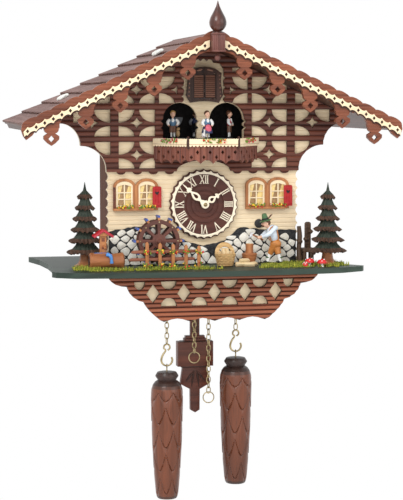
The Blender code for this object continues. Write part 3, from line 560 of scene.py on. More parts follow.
def kept(node: str, look: Look, edge: float = 0.3) -> Object:
    """Keep a frame node as it is, with a finish and slightly broken edges."""
    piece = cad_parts[node]
    dressed(piece, look)
    if edge:
        bevel = piece.modifiers.new("broken_edges", "BEVEL")
        bevel.width = edge * MM
        bevel.segments = 2
        bevel.limit_method = "ANGLE"
        bevel.angle_limit = math.radians(50)
    LOG.info("%s kept from the frame", node)
    return piece


def arc(x: float, z: float, rx: float, rz: float, start: float, end: float, count: int = 12) -> Outline:
    """Return points on an elliptical arc whose angles are in degrees."""
    angles = [math.radians(start + (end - start) * i / count) for i in range(count + 1)]
    return [(x + rx * math.cos(a), z + rz * math.sin(a)) for a in angles]


def turns(count: int, step: float, start: float = 0.0) -> list[float]:
    """Return evenly spaced angles in radians, from a step and a start in degrees."""
    return [math.radians(start + step * i) for i in range(count)]


def circle(x: float, z: float, radius: float, count: int = 24) -> Outline:
    """Return a closed circle's points."""
    return arc(x, z, radius, radius, 0, 360, count)[:-1]


def rectangle(x0: float, z0: float, x1: float, z1: float) -> Outline:
    """Return a rectangle's corners."""
    return [(x0, z0), (x1, z0), (x1, z1), (x0, z1)]


def diamond(x: float, z: float, half_x: float, half_z: float) -> Outline:
    """Return a diamond's corners."""
    return [(x - half_x, z), (x, z - half_z), (x + half_x, z), (x, z + half_z)]


def mirrored(half: Outline) -> Outline:
    """Close an outline whose right half is given."""
    return half + [(-x, z) for x, z in reversed(half) if abs(x) > 1e-6]


def flipped(outline: Outline, side: float) -> Outline:
    """Return an outline on the right as given, or on the left when side is -1."""
    return [(side * x, z) for x, z in outline]


def scalloped(start: Point2, end: Point2, count: int, depth: float, steps: int = 6) -> Outline:
    """Return a line made of round lobes.

    Args:
        start: Where the line starts.
        end: Where it ends.
        count: How many lobes lie along it.
        depth: How far each lobe bulges to the left of the line, or to the right when negative.
        steps: Points on each lobe.

    Returns:
        The line's points, without the last.
    """
    (x0, z0), (x1, z1) = start, end
    length = math.hypot(x1 - x0, z1 - z0)
    left_x, left_z = -(z1 - z0) / length, (x1 - x0) / length
    points = []
    for i in range(count * steps):
        share = i / (count * steps)
        bulge = depth * abs(math.sin(math.pi * i / steps)) ** 0.8
        points.append((x0 + (x1 - x0) * share + left_x * bulge, z0 + (z1 - z0) * share + left_z * bulge))
    return points


def rounded_line(points: Sequence[Point2], steps: int = 5, closed: bool = True) -> Outline:
    """Return a smooth line through points."""
    count = len(points)
    line = []
    for i in range(count if closed else count - 1):
        if closed:
            a, b, c, d = (Vector(points[(i + k) % count]) for k in (-1, 0, 1, 2))
        else:
            a, b, c, d = (Vector(points[min(max(i + k, 0), count - 1)]) for k in (-1, 0, 1, 2))
        for j in range(steps):
            t = j / steps
            p = 0.5 * (2 * b + (c - a) * t + (2 * a - 5 * b + 4 * c - d) * t ** 2
                       + (3 * b - a - 3 * c + d) * t ** 3)
            line.append((p.x, p.y))
    return line if closed else line + [tuple(points[-1])]


def plate(name: str, loops: Sequence[Outline], front: float, thickness: float, edge: float = 0.25,
          plane: Plane = Plane.UPRIGHT) -> Object:
    """Make a flat board with broken edges.

    Args:
        name: The piece's name.
        loops: Its outline and then its holes.
        front: The Y of its front face, or the Z of its top face when it lies level.
        thickness: Its thickness.
        edge: The radius of its broken edges.
        plane: Whether it stands upright or lies level.

    Returns:
        The board as a mesh object.
    """
    curve = bpy.data.curves.new(name, "CURVE")
    curve.dimensions = "2D"
    curve.fill_mode = "BOTH"
    curve.extrude = (thickness / 2 - edge) * MM
    curve.bevel_depth = edge * MM
    curve.bevel_resolution = 1
    curve.offset = -edge * MM
    for loop in loops:
        spline = curve.splines.new("POLY")
        spline.points.add(len(loop) - 1)
        spline.use_cyclic_u = True
        for point, (u, v) in zip(spline.points, loop):
            point.co = (u * MM, v * MM, 0, 1)
    piece = bpy.data.objects.new(name, curve)
    bpy.context.scene.collection.objects.link(piece)
    middle = (0, front + thickness / 2, 0) if plane is Plane.UPRIGHT else (0, 0, front - thickness / 2)
    piece.matrix_world = Matrix.Translation(Vector(middle) * MM) @ plane.value
    return baked(piece)


def milled(name: str, loops: Sequence[Outline], front: float, thickness: float, pitch: float,
           profile: Callable[[float], float], upright: bool = False, origin: float = 0.0, steps: int = 6,
           cutters: Sequence[Outline] = ()) -> Object:
    """Make an upright board whose face is milled into parallel mouldings.

    Args:
        name: The piece's name.
        loops: Its outline and then its holes.
        front: The Y of the crests of its face.
        thickness: Its thickness at the crests.
        pitch: The width of one moulding.
        profile: How deep the face lies at each share of a moulding.
        upright: Whether the mouldings stand upright.
        origin: Where a moulding begins.
        steps: Facets across one moulding.
        cutters: Windows cut afterwards, which may reach past the outline.

    Returns:
        The board as a mesh object.
    """
    blank = plate(name + "_blank", loops, front - 1, thickness + 2, 0.0)
    co = [v.co for v in blank.data.vertices]
    axis = 0 if upright else 2
    low, high = (f(c[axis] for c in co) / MM for f in (min, max))
    ends = [f(c[2 - axis] for c in co) / MM + d for f, d in ((min, -1), (max, 1))]
    first = math.floor((low - origin) / pitch) - 1
    count = math.ceil((high - low) / pitch) + 3
    section = []
    for i in range(count * steps + 1):
        place = origin + (first + i / steps) * pitch
        section.append((place, front + profile((i % steps) / steps if i % steps else 0.0)))
    section += [(section[-1][0], front + thickness), (section[0][0], front + thickness)]
    bm = bmesh.new()
    rings = []
    for end in ends:
        rings.append([bm.verts.new((Vector((p, y, end)) if upright else Vector((end, y, p))) * MM)
                      for p, y in section])
    for i in range(len(section)):
        j = (i + 1) % len(section)
        bm.faces.new((rings[0][i], rings[0][j], rings[1][j], rings[1][i]))
    bm.faces.new(list(reversed(rings[0])))
    bm.faces.new(rings[1])
    bmesh.ops.recalc_face_normals(bm, faces=bm.faces)
    slab = from_bmesh(name, bm)
    meet = slab.modifiers.new("meet", "BOOLEAN")
    meet.operation = "INTERSECT"
    meet.object = blank
    tools = [blank]
    if cutters:
        tools.append(plate(name + "_cutter", cutters, front - 1, thickness + 2, 0.0))
        fret = slab.modifiers.new("fret", "BOOLEAN")
        fret.operation = "DIFFERENCE"
        fret.object = tools[1]
    made = baked(slab, 40)
    for tool in tools:
        bpy.data.objects.remove(tool, do_unlink=True)
    return made


def reed(depth: float) -> Callable[[float], float]:
    """Return a round reed's profile."""
    return lambda t: depth * (2 * t - 1) ** 2


def turned(name: str, profile: Sequence[Point2], centre: Sequence[float], steps: int = 40,
           axis: str = "Z", ripple: Callable[[float, float], float] | None = None,
           angle: float = 35.0) -> Object:
    """Make a turned piece.

    Args:
        name: The piece's name.
        profile: Radius and height from top to bottom; it starts and ends on the axis.
        centre: Where the axis starts.
        steps: Facets around it.
        axis: The world axis that it is turned about: Z, or Y with its top towards the front.
        ripple: A share by which the radius changes with the angle and height.
        angle: Edges sharper than this, in degrees, stay sharp.

    Returns:
        The piece as a closed mesh.
    """
    bm = bmesh.new()
    rings = []
    for radius, height in profile:
        if radius < 1e-6:
            rings.append([bm.verts.new((0, 0, height * MM))])
            continue
        ring = []
        for i in range(steps):
            a = 2 * math.pi * i / steps
            r = radius * (1 + (ripple(a, height) if ripple else 0.0))
            ring.append(bm.verts.new((r * math.cos(a) * MM, r * math.sin(a) * MM, height * MM)))
        rings.append(ring)
    for upper, lower in zip(rings, rings[1:]):
        for i in range(steps):
            j = (i + 1) % steps
            corners = [upper[i % len(upper)], lower[i % len(lower)], lower[j % len(lower)],
                       upper[j % len(upper)]]
            corners = list(dict.fromkeys(corners))
            if len(corners) > 2:
                bm.faces.new(corners)
    bmesh.ops.recalc_face_normals(bm, faces=bm.faces)
    turn = Matrix.Rotation(math.pi / 2, 4, "X") if axis == "Y" else Matrix.Identity(4)
    bm.transform(Matrix.Translation(Vector(centre) * MM) @ turn)
    return soften(from_bmesh(name, bm), angle)


def strand(name: str, points: Sequence[Sequence[float]], radius: float | Sequence[float],
           cyclic: bool = False,
           smooth: bool = True, sides: int = 2) -> Object:
    """Make a round bar, wire or limb along points.

    Args:
        name: The piece's name.
        points: The line that it follows.
        radius: Its radius, or one radius for each point.
        cyclic: Whether its ends meet.
        smooth: Whether it curves through its points.
        sides: The bevel's resolution.

    Returns:
        The bar as a mesh object.
    """
    radii = [radius] * len(points) if isinstance(radius, (int, float)) else list(radius)
    curve = bpy.data.curves.new(name, "CURVE")
    curve.dimensions = "3D"
    curve.bevel_depth = MM
    curve.bevel_resolution = sides
    curve.use_fill_caps = not cyclic
    curve.resolution_u = 4
    spline = curve.splines.new("BEZIER" if smooth else "POLY")
    if smooth:
        spline.bezier_points.add(len(points) - 1)
        for knot, place, size in zip(spline.bezier_points, points, radii):
            knot.co = Vector(place) * MM
            knot.handle_left_type = knot.handle_right_type = "AUTO"
            knot.radius = size
    else:
        spline.points.add(len(points) - 1)
        for knot, place, size in zip(spline.points, points, radii):
            knot.co = (*(Vector(place) * MM), 1)
            knot.radius = size
    spline.use_cyclic_u = cyclic
    piece = bpy.data.objects.new(name, curve)
    bpy.context.scene.collection.objects.link(piece)
    return baked(piece, 50)


def lump(name: str, centre: Sequence[float], radii: Sequence[float], turn: Sequence[float] = (0, 0, 0),
         rough: float = 0.0, grain: float = 150.0, detail: int = 3) -> Object:
    """Make a rounded lump, carved a little unevenly.

    Args:
        name: The piece's name.
        centre: Its centre.
        radii: Its half sizes.
        turn: Its rotation in degrees.
        rough: How uneven it is, as a share of its size.
        grain: How closely spaced the unevenness is.
        detail: Subdivisions of its surface.

    Returns:
        The lump as a mesh object.
    """
    bm = bmesh.new()
    bmesh.ops.create_icosphere(bm, subdivisions=detail, radius=1)
    offset = Vector(centre)
    for vert in bm.verts:
        if rough:
            vert.co *= 1 + rough * noise.noise((vert.co * 1.7 + offset) * grain / 150)
    turning = Matrix.Rotation(math.radians(turn[2]), 4, "Z") @ Matrix.Rotation(math.radians(turn[1]), 4,
                                                                               "Y") \
        @ Matrix.Rotation(math.radians(turn[0]), 4, "X")
    bm.transform(Matrix.Translation(offset * MM) @ turning @ Matrix.Diagonal((*(Vector(radii) * MM), 1)))
    return soften(from_bmesh(name, bm), 80)


def block(name: str, low: Sequence[float], high: Sequence[float], edge: float = 0.4,
          turn: Matrix | None = None) -> Object:
    """Make a squared piece of wood with rounded edges, turned about its own centre."""
    bm = bmesh.new()
    size = Vector(high) - Vector(low)
    middle = (Vector(high) + Vector(low)) / 2
    bmesh.ops.create_cube(bm, size=1, matrix=Matrix.Diagonal((*(size * MM), 1)))
    bmesh.ops.bevel(bm, geom=bm.edges[:], offset=edge * MM, segments=2, affect="EDGES", profile=0.6)
    bm.transform(Matrix.Translation(middle * MM) @ (turn or Matrix.Identity(4)))
    return soften(from_bmesh(name, bm), 50)


def moved(piece: Object, place: Matrix) -> Object:
    """Move a piece's mesh by a matrix in metres."""
    piece.data.transform(place)
    return piece


def bouquet(name: str, centre: Sequence[float], spread: Sequence[float], count: int, rng: random.Random,
            blooms: Sequence[Look] = (BLOOM_RED, BLOOM_YELLOW)) -> Object:
    """Make a small bunch of leaves and flower heads.

    Args:
        name: The piece's name.
        centre: The bunch's centre.
        spread: Its half sizes.
        count: How many leaves and heads it has.
        rng: The random numbers that place them.
        blooms: The colours of the flower heads.

    Returns:
        The bunch as one object.
    """
    parts = []
    for i in range(count):
        place = [c + s * rng.uniform(-1, 1) for c, s in zip(centre, spread)]
        turn = [rng.uniform(0, 180) for _ in range(3)]
        if i % 3:
            size = rng.uniform(0.7, 1.3)
            part = dressed(lump("leaf", place, (size, size * 0.35, size * 0.7), turn, 0.2, detail=2),
                           LEAF_GREEN)
        else:
            size = rng.uniform(0.6, 1.0)
            place[1] -= spread[1] * 0.5
            part = dressed(lump("bloom", place, (size, size * 0.7, size), turn, 0.3, detail=2),
                           rng.choice(blooms))
        parts.append(part)
    return joined(name, parts)


def case_extent(node: str) -> tuple[Vector, Vector]:
    """Return a frame node's lowest and highest corners in millimetres."""
    low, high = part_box(node)
    return low / MM, high / MM


# ---------------------------------------------------------------- roof

@dataclass
class Roof:
    """Two shingled slopes, their carved bargeboards and the finial on the ridge."""

    ridge: float = 62.2
    half: float = 174.1
    slope: float = math.radians(25.4)
    front: float = -198.0
    barge_front: float = -203.0
    rows: int = 9
    tabs: int = 8
    step: float = 1.8
    brackets: tuple[float, ...] = tuple(148.4 - 30.6 * i for i in range(5))
    rng: random.Random = field(default_factory=lambda: random.Random(4))

    def below(self, x: float, drop: float) -> Point2:
        """Return the point a given drop under the roof's line."""
        return x, self.ridge - abs(x) * math.tan(self.slope) - drop

    def tab(self, bm: bmesh.types.BMesh, row: int, near: float, far: float, place: Matrix) -> None:
        """Add one shingle to a bmesh: a thin wedge with a softly scalloped lower end."""
        length = self.half / math.cos(self.slope) / self.rows
        start, end = row * length - (2.0 if row else 0.0), (row + 1) * length
        end += self.rng.uniform(-0.5, 0.1)
        top = 0.0 if row else 0.4
        hem = [(end + 1.5 * abs(math.sin(math.pi * t / 4)) - 0.9,
                near + (far - near) * t / 8) for t in range(9)]
        outline = [(start, far), (start, near), *hem]
        lift = {start: -self.step - 0.3}
        upper, lower = [], []
        for along, y in outline:
            height = lift.get(along, -0.15 * self.rng.random() - top)
            upper.append(bm.verts.new(place @ (Vector((along, y, height)) * MM)))
            lower.append(bm.verts.new(place @ (Vector((along, y, height - 1.9)) * MM)))
        bm.faces.new(upper)
        bm.faces.new(list(reversed(lower)))
        for i in range(len(outline)):
            j = (i + 1) % len(outline)
            rim = bm.faces.new((upper[j], upper[i], lower[i], lower[j]))
            rim.material_index = 1

    def shingles(self, name: str, side: int) -> None:
        """Lay one slope's shingles over a thin bed."""
        flip = Matrix.Diagonal((side, 1, 1, 1))
        place = flip @ Matrix.Translation((0, 0, self.ridge * MM)) @ Matrix.Rotation(self.slope, 4, "Y")
        bm = bmesh.new()
        width = -self.front / self.tabs
        for row in range(self.rows):
            stagger = 0.5 * (row % 2)
            edges = [self.front + width * (k - stagger) for k in range(self.tabs + 2)]
            edges = [min(max(e, self.front), 0.0) for e in edges]
            for near, far in zip(edges, edges[1:]):
                if far - near > 1:
                    self.tab(bm, row, near + 0.25, far - 0.25, place)
        bmesh.ops.recalc_face_normals(bm, faces=bm.faces)
        bmesh.ops.bevel(bm, geom=bm.edges[:], offset=0.22 * MM, segments=1, affect="EDGES")
        tabs = soften(from_bmesh("tabs", bm), 40)
        tabs.data.materials.append(mixed(SHINGLE_WOOD))
        tabs.data.materials.append(mixed(SHINGLE_EDGE))
        length = self.half / math.cos(self.slope) - 1.5
        bed = block("bed", (0.2, self.front + 0.4, -4.4), (length, -0.3, -2.3), 0.1)
        moved(bed, place)
        if side < 0:
            bed.data.flip_normals()
        fitted(joined("shingle_slope_" + name, [tabs, dressed(bed, SHINGLE_EDGE)]),
               stands_for=["shingles_" + name])

    def bracket(self, centre: float) -> Outline:
        """Return a moulded block, a curved neck and a pointed drop, from right to left."""
        right = [(7.2, -13.0), (7.2, -16.6), (6.5, -16.9), (6.5, -17.8),
                 *[(3.2 + 3.3 * math.cos(a), -17.9 - 3.2
                 * math.sin(a)) for a in (0.0, 0.5, 1.0)], (3.4, -21.3), (6.9, -23.6), (6.9, -26.4),
                 (3.6, -29.8)]
        left = [(-dx, dz) for dx, dz in reversed(right)]
        x, z = self.below(centre, 0)
        return [(x + dx, z + dz) for dx, dz in [*right, (0, -32.2), *left]]

    def bargeboard(self, name: str, side: int) -> None:
        """Cut a bargeboard: carved waves on top, brackets and drops below."""
        top = []
        bumps = 14
        for i in range(bumps * 6):
            x = 0.2 + i * (self.half - 0.2) / (bumps * 6)
            lift = 1.5 * abs(math.sin(math.pi * i / 6)) ** 0.7
            top.append(self.below(x, -lift + 0.4))
        foot = [self.below(self.half, 0.8), self.below(self.half + 0.8, 6), self.below(self.half - 1, 12),
                self.below(self.half - 3.5, 16.5), self.below(self.half - 9, 15.0)]
        low = []
        inner = self.half - 9
        for centre in self.brackets:
            reach = inner - (centre + 7.2)
            for k in range(1, 7):
                share = k / 7
                low.append(self.below(inner - reach * share, 15.0 - 3.0 * math.sin(math.pi * share)))
            low += self.bracket(centre)
            inner = centre - 7.2
        low += [self.below(inner * (1 - k / 6), 15.0 + 5.0 * (k / 6) - 2.2 * math.sin(math.pi * k / 6))
                for k in range(1, 6)]
        outline = top + foot + low + [self.below(0.2, 20)]
        holes = [diamond(*self.below(c, 26.1), 2.7, 3.0) for c in self.brackets]
        board = milled("bargeboard_carved_" + name, [flipped(o, side) for o in [outline, *holes]],
                       self.barge_front, 4.7, 3.1, lambda t: 0.35 * (0.5 + 0.5 * math.cos(2 * math.pi * t)))
        fitted(dressed(board, BARGE_WOOD), stands_for=["bargeboard_" + name])

    def ribbon(self, drop: float, swell: float, holed: bool) -> list[Outline]:
        """Return a fretted ribbon's outline, with its diamonds when holed."""
        pitch, first, count = 7.55, 11.0, 22
        upper, lower = [], []
        for i in range(count):
            centre = first + pitch * i
            for k, width in enumerate((1.0, 0.42, 0.16, 0.05, 0.16, 0.42)):
                x = centre + pitch * k / 6
                if x > 171.5:
                    break
                half_width = 1.75 + swell * width
                upper.append(self.below(x, drop - half_width))
                lower.append(self.below(x, drop + half_width))
        ends = [self.below(6.6, drop + 3.0), self.below(6.6, drop - 3.0)]
        outline = upper + [self.below(173.2, drop - 1.2), self.below(172.4, drop + 3.4)] + lower[::-1] + ends
        holes = [diamond(*self.below(first + pitch * i, drop), 1.55, 1.9) for i in range(count)]
        return [outline, *holes] if holed else [outline]

    def trim(self, name: str, side: int) -> None:
        """Cut the pale fretted ribbon and a dark copy below it, a painted shadow of the ribbon."""
        pale = plate("barge_ribbon_" + name, [flipped(o, side) for o in self.ribbon(9.25, 1.95, True)],
                     self.barge_front - 2.3, 1.3, 0.15)
        fitted(dressed(pale, CREAM_CARVING), stands_for=["barge_trim_" + name])
        # A dark copy of the ribbon, lower and behind it, is a painted shadow.
        dark = plate("barge_ribbon_shadow_" + name,
                     [flipped(o, side) for o in self.ribbon(10.7, 1.95, False)],
                     self.barge_front - 0.95, 0.9, 0.15)
        fitted(dressed(dark, DARK_WOOD_AND_SHADE))

    def stones(self) -> None:
        """Lay the flat stones that weigh the shingles down."""
        place = Matrix.Translation((0, 0, self.ridge * MM)) @ Matrix.Rotation(self.slope, 4, "Y")
        for name, side, along, y in (("stone_a", -1, 44, -129), ("stone_b", -1, 141, -118),
                                     ("stone_c", 1, 64, -171),
                                     ("stone_d", 1, 141, -118)):
            stone = lump("roof_" + name, (0, 0, 0), (6.4, 5.6, 2.3), (0, 0, 30 * side), 0.25, 300)
            flip = Matrix.Diagonal((side, 1, 1, 1))
            moved(stone, flip @ place @ Matrix.Translation(Vector((along, y, 0.6)) * MM))
            if side < 0:
                stone.data.flip_normals()
            fitted(dressed(stone, ROOF_STONE))

    def finial(self) -> None:
        """Make the reeded post and the turned onion on it."""
        front, back = -213.0, -203.3
        flutes = []
        for i in range(6):
            x0, x1 = -5.8 + i * 11.6 / 6, -5.8 + (i + 1) * 11.6 / 6
            flutes += [(x0, front + 0.5), ((2 * x0 + x1) / 3, front), ((x0 + 2 * x1) / 3, front)]
        outline = [*flutes, (5.8, front + 0.5), (5.8, back), (-5.8, back)]
        post = plate("finial_shaft", [outline], 58.6, 15.4, 0.2, Plane.LEVEL)
        cap = block("cap", (-6.2, front - 0.6, 57.6), (6.2, back - 0.1, 59.0), 0.4)
        foot = block("foot", (-6.1, front - 0.4, 42.4), (6.1, back - 0.1, 44.2), 0.4)
        knob = lump("knob", (0, -206.5, 37.2), (2.7, 2.0, 2.7))
        fitted(joined("finial_reeded_post", [dressed(p, POST_WOOD) for p in (post, cap, foot, knob)]))
        profile = rounded_line([(0.01, 88.0), (0.6, 86.2), (1.7, 82.6), (4.2, 77.4), (6.7, 72.6), (7.7, 68.4),
                                (7.0, 64.8),
                                (4.6, 61.6), (2.7, 60.7), (2.9, 60.2), (4.7, 59.9), (4.7, 58.8),
                                (0.01, 58.6)], 5, False)
        profile = [(0.0, profile[0][1]), *profile[1:-1], (0.0, profile[-1][1])]
        onion = turned("finial_onion", [(max(r, 0.0), z) for r, z in profile], (0, (front + back) / 2, 0), 40)
        fitted(dressed(onion, ONION_WOOD), stands_for=["finial_post"])

    def build(self) -> None:
        """Make every piece of the roof."""
        for name, side in (("left", -1), ("right", 1)):
            self.shingles(name, side)
            kept("roof_board_" + name, ROOF_WOOD)
            self.bargeboard(name, side)
            self.trim(name, side)
        self.stones()
        self.finial()


# ---------------------------------------------------------------- front of the case

@dataclass
class Front:
    """The clapboard front, the carved timber lattice over it and the stone plinth."""

    half: float = 91.3
    gable: float = 134.2
    base: float = GROUND
    timber: float = -148.3
    under_roof: float = 10.1
    roof: Roof = field(default_factory=Roof)
    rng: random.Random = field(default_factory=lambda: random.Random(11))

    def roof_line(self, x: float) -> float:
        """Return the height of the roof boards' underside."""
        slope = self.roof.slope
        return self.roof.ridge - self.under_roof / math.cos(slope) - abs(x) * math.tan(slope)

    def gable_side(self, gap: float = 0.0) -> Outline:
        """Return the gable's right side, from its point to the straight wall."""
        return [(0, self.roof_line(0) - gap), (self.gable, self.roof_line(self.gable) - gap),
                *arc(self.gable, -42.2, 19, 20.6, 90, 180, 10), *arc(115.2, -64.5, 23.9, 22.3, 90, 180, 10)]

    def doors(self, grow: float, bites: bool) -> Outline:
        """Return the two arched doors and the slot that joins them, counter-clockwise."""
        inner, outer, sill = 6.0 - grow, 38.2 + grow, -38.8
        middle, half = (inner + outer) / 2, (outer - inner) / 2
        arch = arc(middle, -18, half, 15.2 + grow, 0, 180, 20)
        edge = [(outer, -28), (outer + 2.2, -26), (outer, -24), (outer, -22), (outer + 2.2, -20),
                (outer, -18)]
        inside = [(inner, -18), (inner - 2.0, -20), (inner, -22), (inner, -24), (inner - 2.0, -26),
                  (inner, -28)]
        right = [(outer, sill), *(edge if bites else []), *arch, *(inside if bites else []), (inner, -35.5)]
        return right + [(-x, z) for x, z in reversed(right)]

    def panel(self) -> None:
        """Mill the clapboards and cut the front's outline and openings."""
        bites = scalloped((self.half, -66.5), (self.half, -149.0), 10, -2.0)
        side = [(x, z) for x, z in bites] + [(self.half, -149.0), (self.half, self.base)]
        outline = mirrored(self.gable_side() + side)
        hatch = rectangle(-11.2, 0.5, 11.2, 24.2)
        holes = [self.doors(0.0, True), hatch, circle(*DIAL_CENTRE, 4.0), circle(*WHEEL_AXLE, 2.4)]
        panel = milled("clapboard_front", [outline, *holes], -145.0, 5.0, 4.15,
                       lambda t: 0.42 * max(0.0, 1 - t * 7) + 0.12 * t, origin=-149.0, steps=9)
        fitted(dressed(panel, CLAPBOARD), stands_for=["facade_panel"])

    def cell(self, left: float, right: float, top: float, bottom: float) -> list[Outline]:
        """Return one lattice cell's four corner windows and its star."""
        wide, tall = (right - left) / 2 - 2.15, (top - bottom)
        above, under = tall * 0.485, tall * 0.385
        middle_x, middle_z = (left + right) / 2, (top + bottom) / 2 + 0.1
        star = []
        for quarter in range(4):
            a, b = 90 * quarter, 90 * quarter + 90
            tips = [(6.5 * math.cos(math.radians(t)), 5.5 * math.sin(math.radians(t))) for t in (a, b)]
            for k in range(5):
                s = k / 5
                pull = 1 - 0.36 * math.sin(math.pi * s)
                star.append((middle_x + (tips[0][0] * (1 - s) + tips[1][0] * s) * pull,
                             middle_z + (tips[0][1] * (1 - s) + tips[1][1] * s) * pull))
        return [[(left, top), *arc(left, top, wide, above, 270, 360, 10)],
                [(right, top), *arc(right, top, wide, above, 180, 270, 10)],
                [(left, bottom), *arc(left, bottom, wide, under, 0, 90, 10)],
                [(right, bottom), *arc(right, bottom, wide, under, 90, 180, 10)], star]

    def lattice(self) -> None:
        """Mill the reeded timber layer and fret its windows."""
        rows = ((21.2, -3.4), (-9.2, -33.5), (-38.7, -63.2))
        lobes = []
        for i in range(4):
            centre = 77.9 - 15.2 * i
            lobes += [(centre + 4.9, -66.2), *arc(centre, -66.2, 4.1, 2.7, 360, 180, 8),
                      (centre - 4.9, -66.2)]
        under = [(26.6, -66.2), *arc(0, -66.2, 25.6, 10.0, 0, 90, 10)]
        outline = mirrored(self.gable_side(0.3)[:-1] + [(self.half, -66.2), *lobes, *under])
        cusps = []
        for middle in (3.0, 11.6, 20.2):
            cusps += [(18.7, middle - 3.0), (19.2, middle - 1.4), (21.2, middle), (19.2, middle + 1.4)]
        arch = arc(22.1, -18, 16.5, 15.6, 0, 96, 14)
        opening = [(38.6, -38.8), (38.6, -28), (40.8, -26), (38.6, -24), (38.6, -22), (40.8, -20), *arch,
                   *cusps,
                   (18.7, 28.5), (15.4, 33.4), (9.4, 34.2), (8.0, 36.6), (4.6, 37.4), (3.0, 35.6),
                   (0.8, 37.8)]
        hole = [*opening, *[(-x, z) for x, z in reversed(opening)]]
        windows = []
        for side in (-1, 1):
            for row, (top, bottom) in enumerate(rows):
                near, outer = self.cell(45.9, 80.0, top, bottom), self.cell(87.6, 121.7, top, bottom)
                near += ([outer[2]], [outer[0], outer[1], outer[2], outer[4]], [outer[0]])[row]
                if row == 0:
                    inner = self.cell(8.0, 42.2, top, bottom)
                    half_star = [(25.0, 4.4), (27.0, 7.6), (31.2, 9.0), (27.0, 10.4), (25.0, 13.8)]
                    near += [inner[1], inner[3], half_star, rectangle(27.0, 26.2, 41.0, 29.6)]
                windows += [flipped(o, side) for o in near]
        board = milled("timber_lattice", [outline, hole], self.timber, 3.0, 4.9, reed(0.75), origin=-9.0,
                       cutters=windows)
        # The faces deep in the reeds' grooves get painted shade.
        shade_grooves(dressed(board, LATTICE_WOOD), GROOVE_SHADE, self.timber, 0.45)
        fitted(board, stands_for=["timber_overlay"])

    def wall_top(self, x: float) -> float:
        """Return how high the stonework reaches at a place along it."""
        line = ((-90, -121.2), (-60, -116.8), (-36.6, -119), (-22.4, -130), (0, -136.3), (20.6, -131),
                (34, -119.6),
                (60, -121.5), (90, -122.8))
        for (x0, z0), (x1, z1) in zip(line, line[1:]):
            if x <= x1:
                return z0 + (z1 - z0) * max(0.0, (x - x0) / (x1 - x0))
        return line[-1][1]

    def plinth(self) -> None:
        """Make the dark stonework with its ragged top, and set the pale stones in it."""
        top = []
        for i in range(61):
            x = 89.3 - 178.6 * i / 60
            top.append((x, self.wall_top(x) + self.rng.uniform(-0.7, 0.7)))
        outline = [(-89.3, self.base), (89.3, self.base), *top]
        bed = plate("stonework_bed", [outline, circle(*WHEEL_AXLE, 2.4)], -147.3, 2.0, 0.3)
        fitted(dressed(bed, BLACK_WALL), stands_for=["stone_plinth"])
        seeds = []
        for row in range(8):
            for column in range(20):
                x = -94 + 10.2 * column + 5.1 * (row % 2) + self.rng.uniform(-2.3, 2.3)
                z = self.base + 2.8 + 5.5 * row + self.rng.uniform(-1.2, 1.2)
                seeds.append((x, z))
        stones = [self.stone(seed, seeds) for seed in seeds
                  if abs(seed[0]) < 87 and seed[1] < self.wall_top(seed[0]) - 1.2
                  and self.rng.random() > 0.04]
        fitted(dressed(joined("plinth_stones", stones), WHITE_STONE))

    def stone(self, seed: Point2, seeds: Sequence[Point2]) -> Object:
        """Make one flat stone that fills the room around its seed.

        Args:
            seed: Its middle.
            seeds: Every stone's middle.

        Returns:
            The stone, with an even joint to its neighbours.
        """
        x, z = seed
        shape = [(x - 7, z - 5), (x + 7, z - 5), (x + 7, z + 5), (x - 7, z + 5)]
        walls = [(0.0, 1.0, self.wall_top(x) - z - 0.9), (0.0, -1.0, z - self.base - 0.6),
                 (1.0, 0.0, 88.6 - x),
                 (-1.0, 0.0, x + 88.6)]
        for other in seeds:
            gap = math.dist(seed, other)
            if 0 < gap < 22:
                walls.append(((other[0] - x) / gap, (other[1] - z) / gap, gap / 2 - 0.8))
        for across, up, reach in walls:
            cut = []
            for first, second in zip(shape, shape[1:] + shape[:1]):
                d0 = (first[0] - x) * across + (first[1] - z) * up - reach
                d1 = (second[0] - x) * across + (second[1] - z) * up - reach
                if d0 <= 0:
                    cut.append(first)
                if d0 * d1 < 0:
                    t = d0 / (d0 - d1)
                    cut.append((first[0] + (second[0] - first[0]) * t, first[1] + (second[1] - first[1]) * t))
            shape = cut
        ring = [(u + self.rng.uniform(-0.25, 0.25), v + self.rng.uniform(-0.2, 0.2))
                for k, (u, v) in enumerate(shape) if math.dist((u, v), shape[k - 1]) > 0.9]
        return plate("stone", [rounded_line(ring, 3)], -147.95, 1.2, 0.35)

    def sensor(self) -> None:
        """Make the small dark eye that silences the clock at night."""
        eye = turned("light_sensor", [(0, 1.6), (2.6, 1.5), (3.9, 0.9), (4.3, 0.2), (4.3, 0), (0, 0)],
                     (53.6, -145.4, -116.1), 32, "Y")
        fitted(dressed(eye, BLACK_PLASTIC))

    def build(self) -> None:
        """Make every piece of the front."""
        self.panel()
        self.lattice()
        self.plinth()
        self.sensor()


# ---------------------------------------------------------------- small shared shapes

def prisms(name: str, shapes: Sequence[Outline], front: float, thickness: float) -> Object:
    """Make several thin flat shapes at one depth, which may overlap.

    Args:
        name: The piece's name.
        shapes: Their outlines.
        front: The Y of their front faces.
        thickness: Their thickness.

    Returns:
        The shapes as one mesh.
    """
    bm = bmesh.new()
    for shape in shapes:
        near = [bm.verts.new((x * MM, front * MM, z * MM)) for x, z in shape]
        far = [bm.verts.new((x * MM, (front + thickness) * MM, z * MM)) for x, z in shape]
        bm.faces.new(near)
        bm.faces.new(list(reversed(far)))
        for i in range(len(shape)):
            j = (i + 1) % len(shape)
            bm.faces.new((near[j], near[i], far[i], far[j]))
    bmesh.ops.recalc_face_normals(bm, faces=bm.faces)
    return from_bmesh(name, bm)


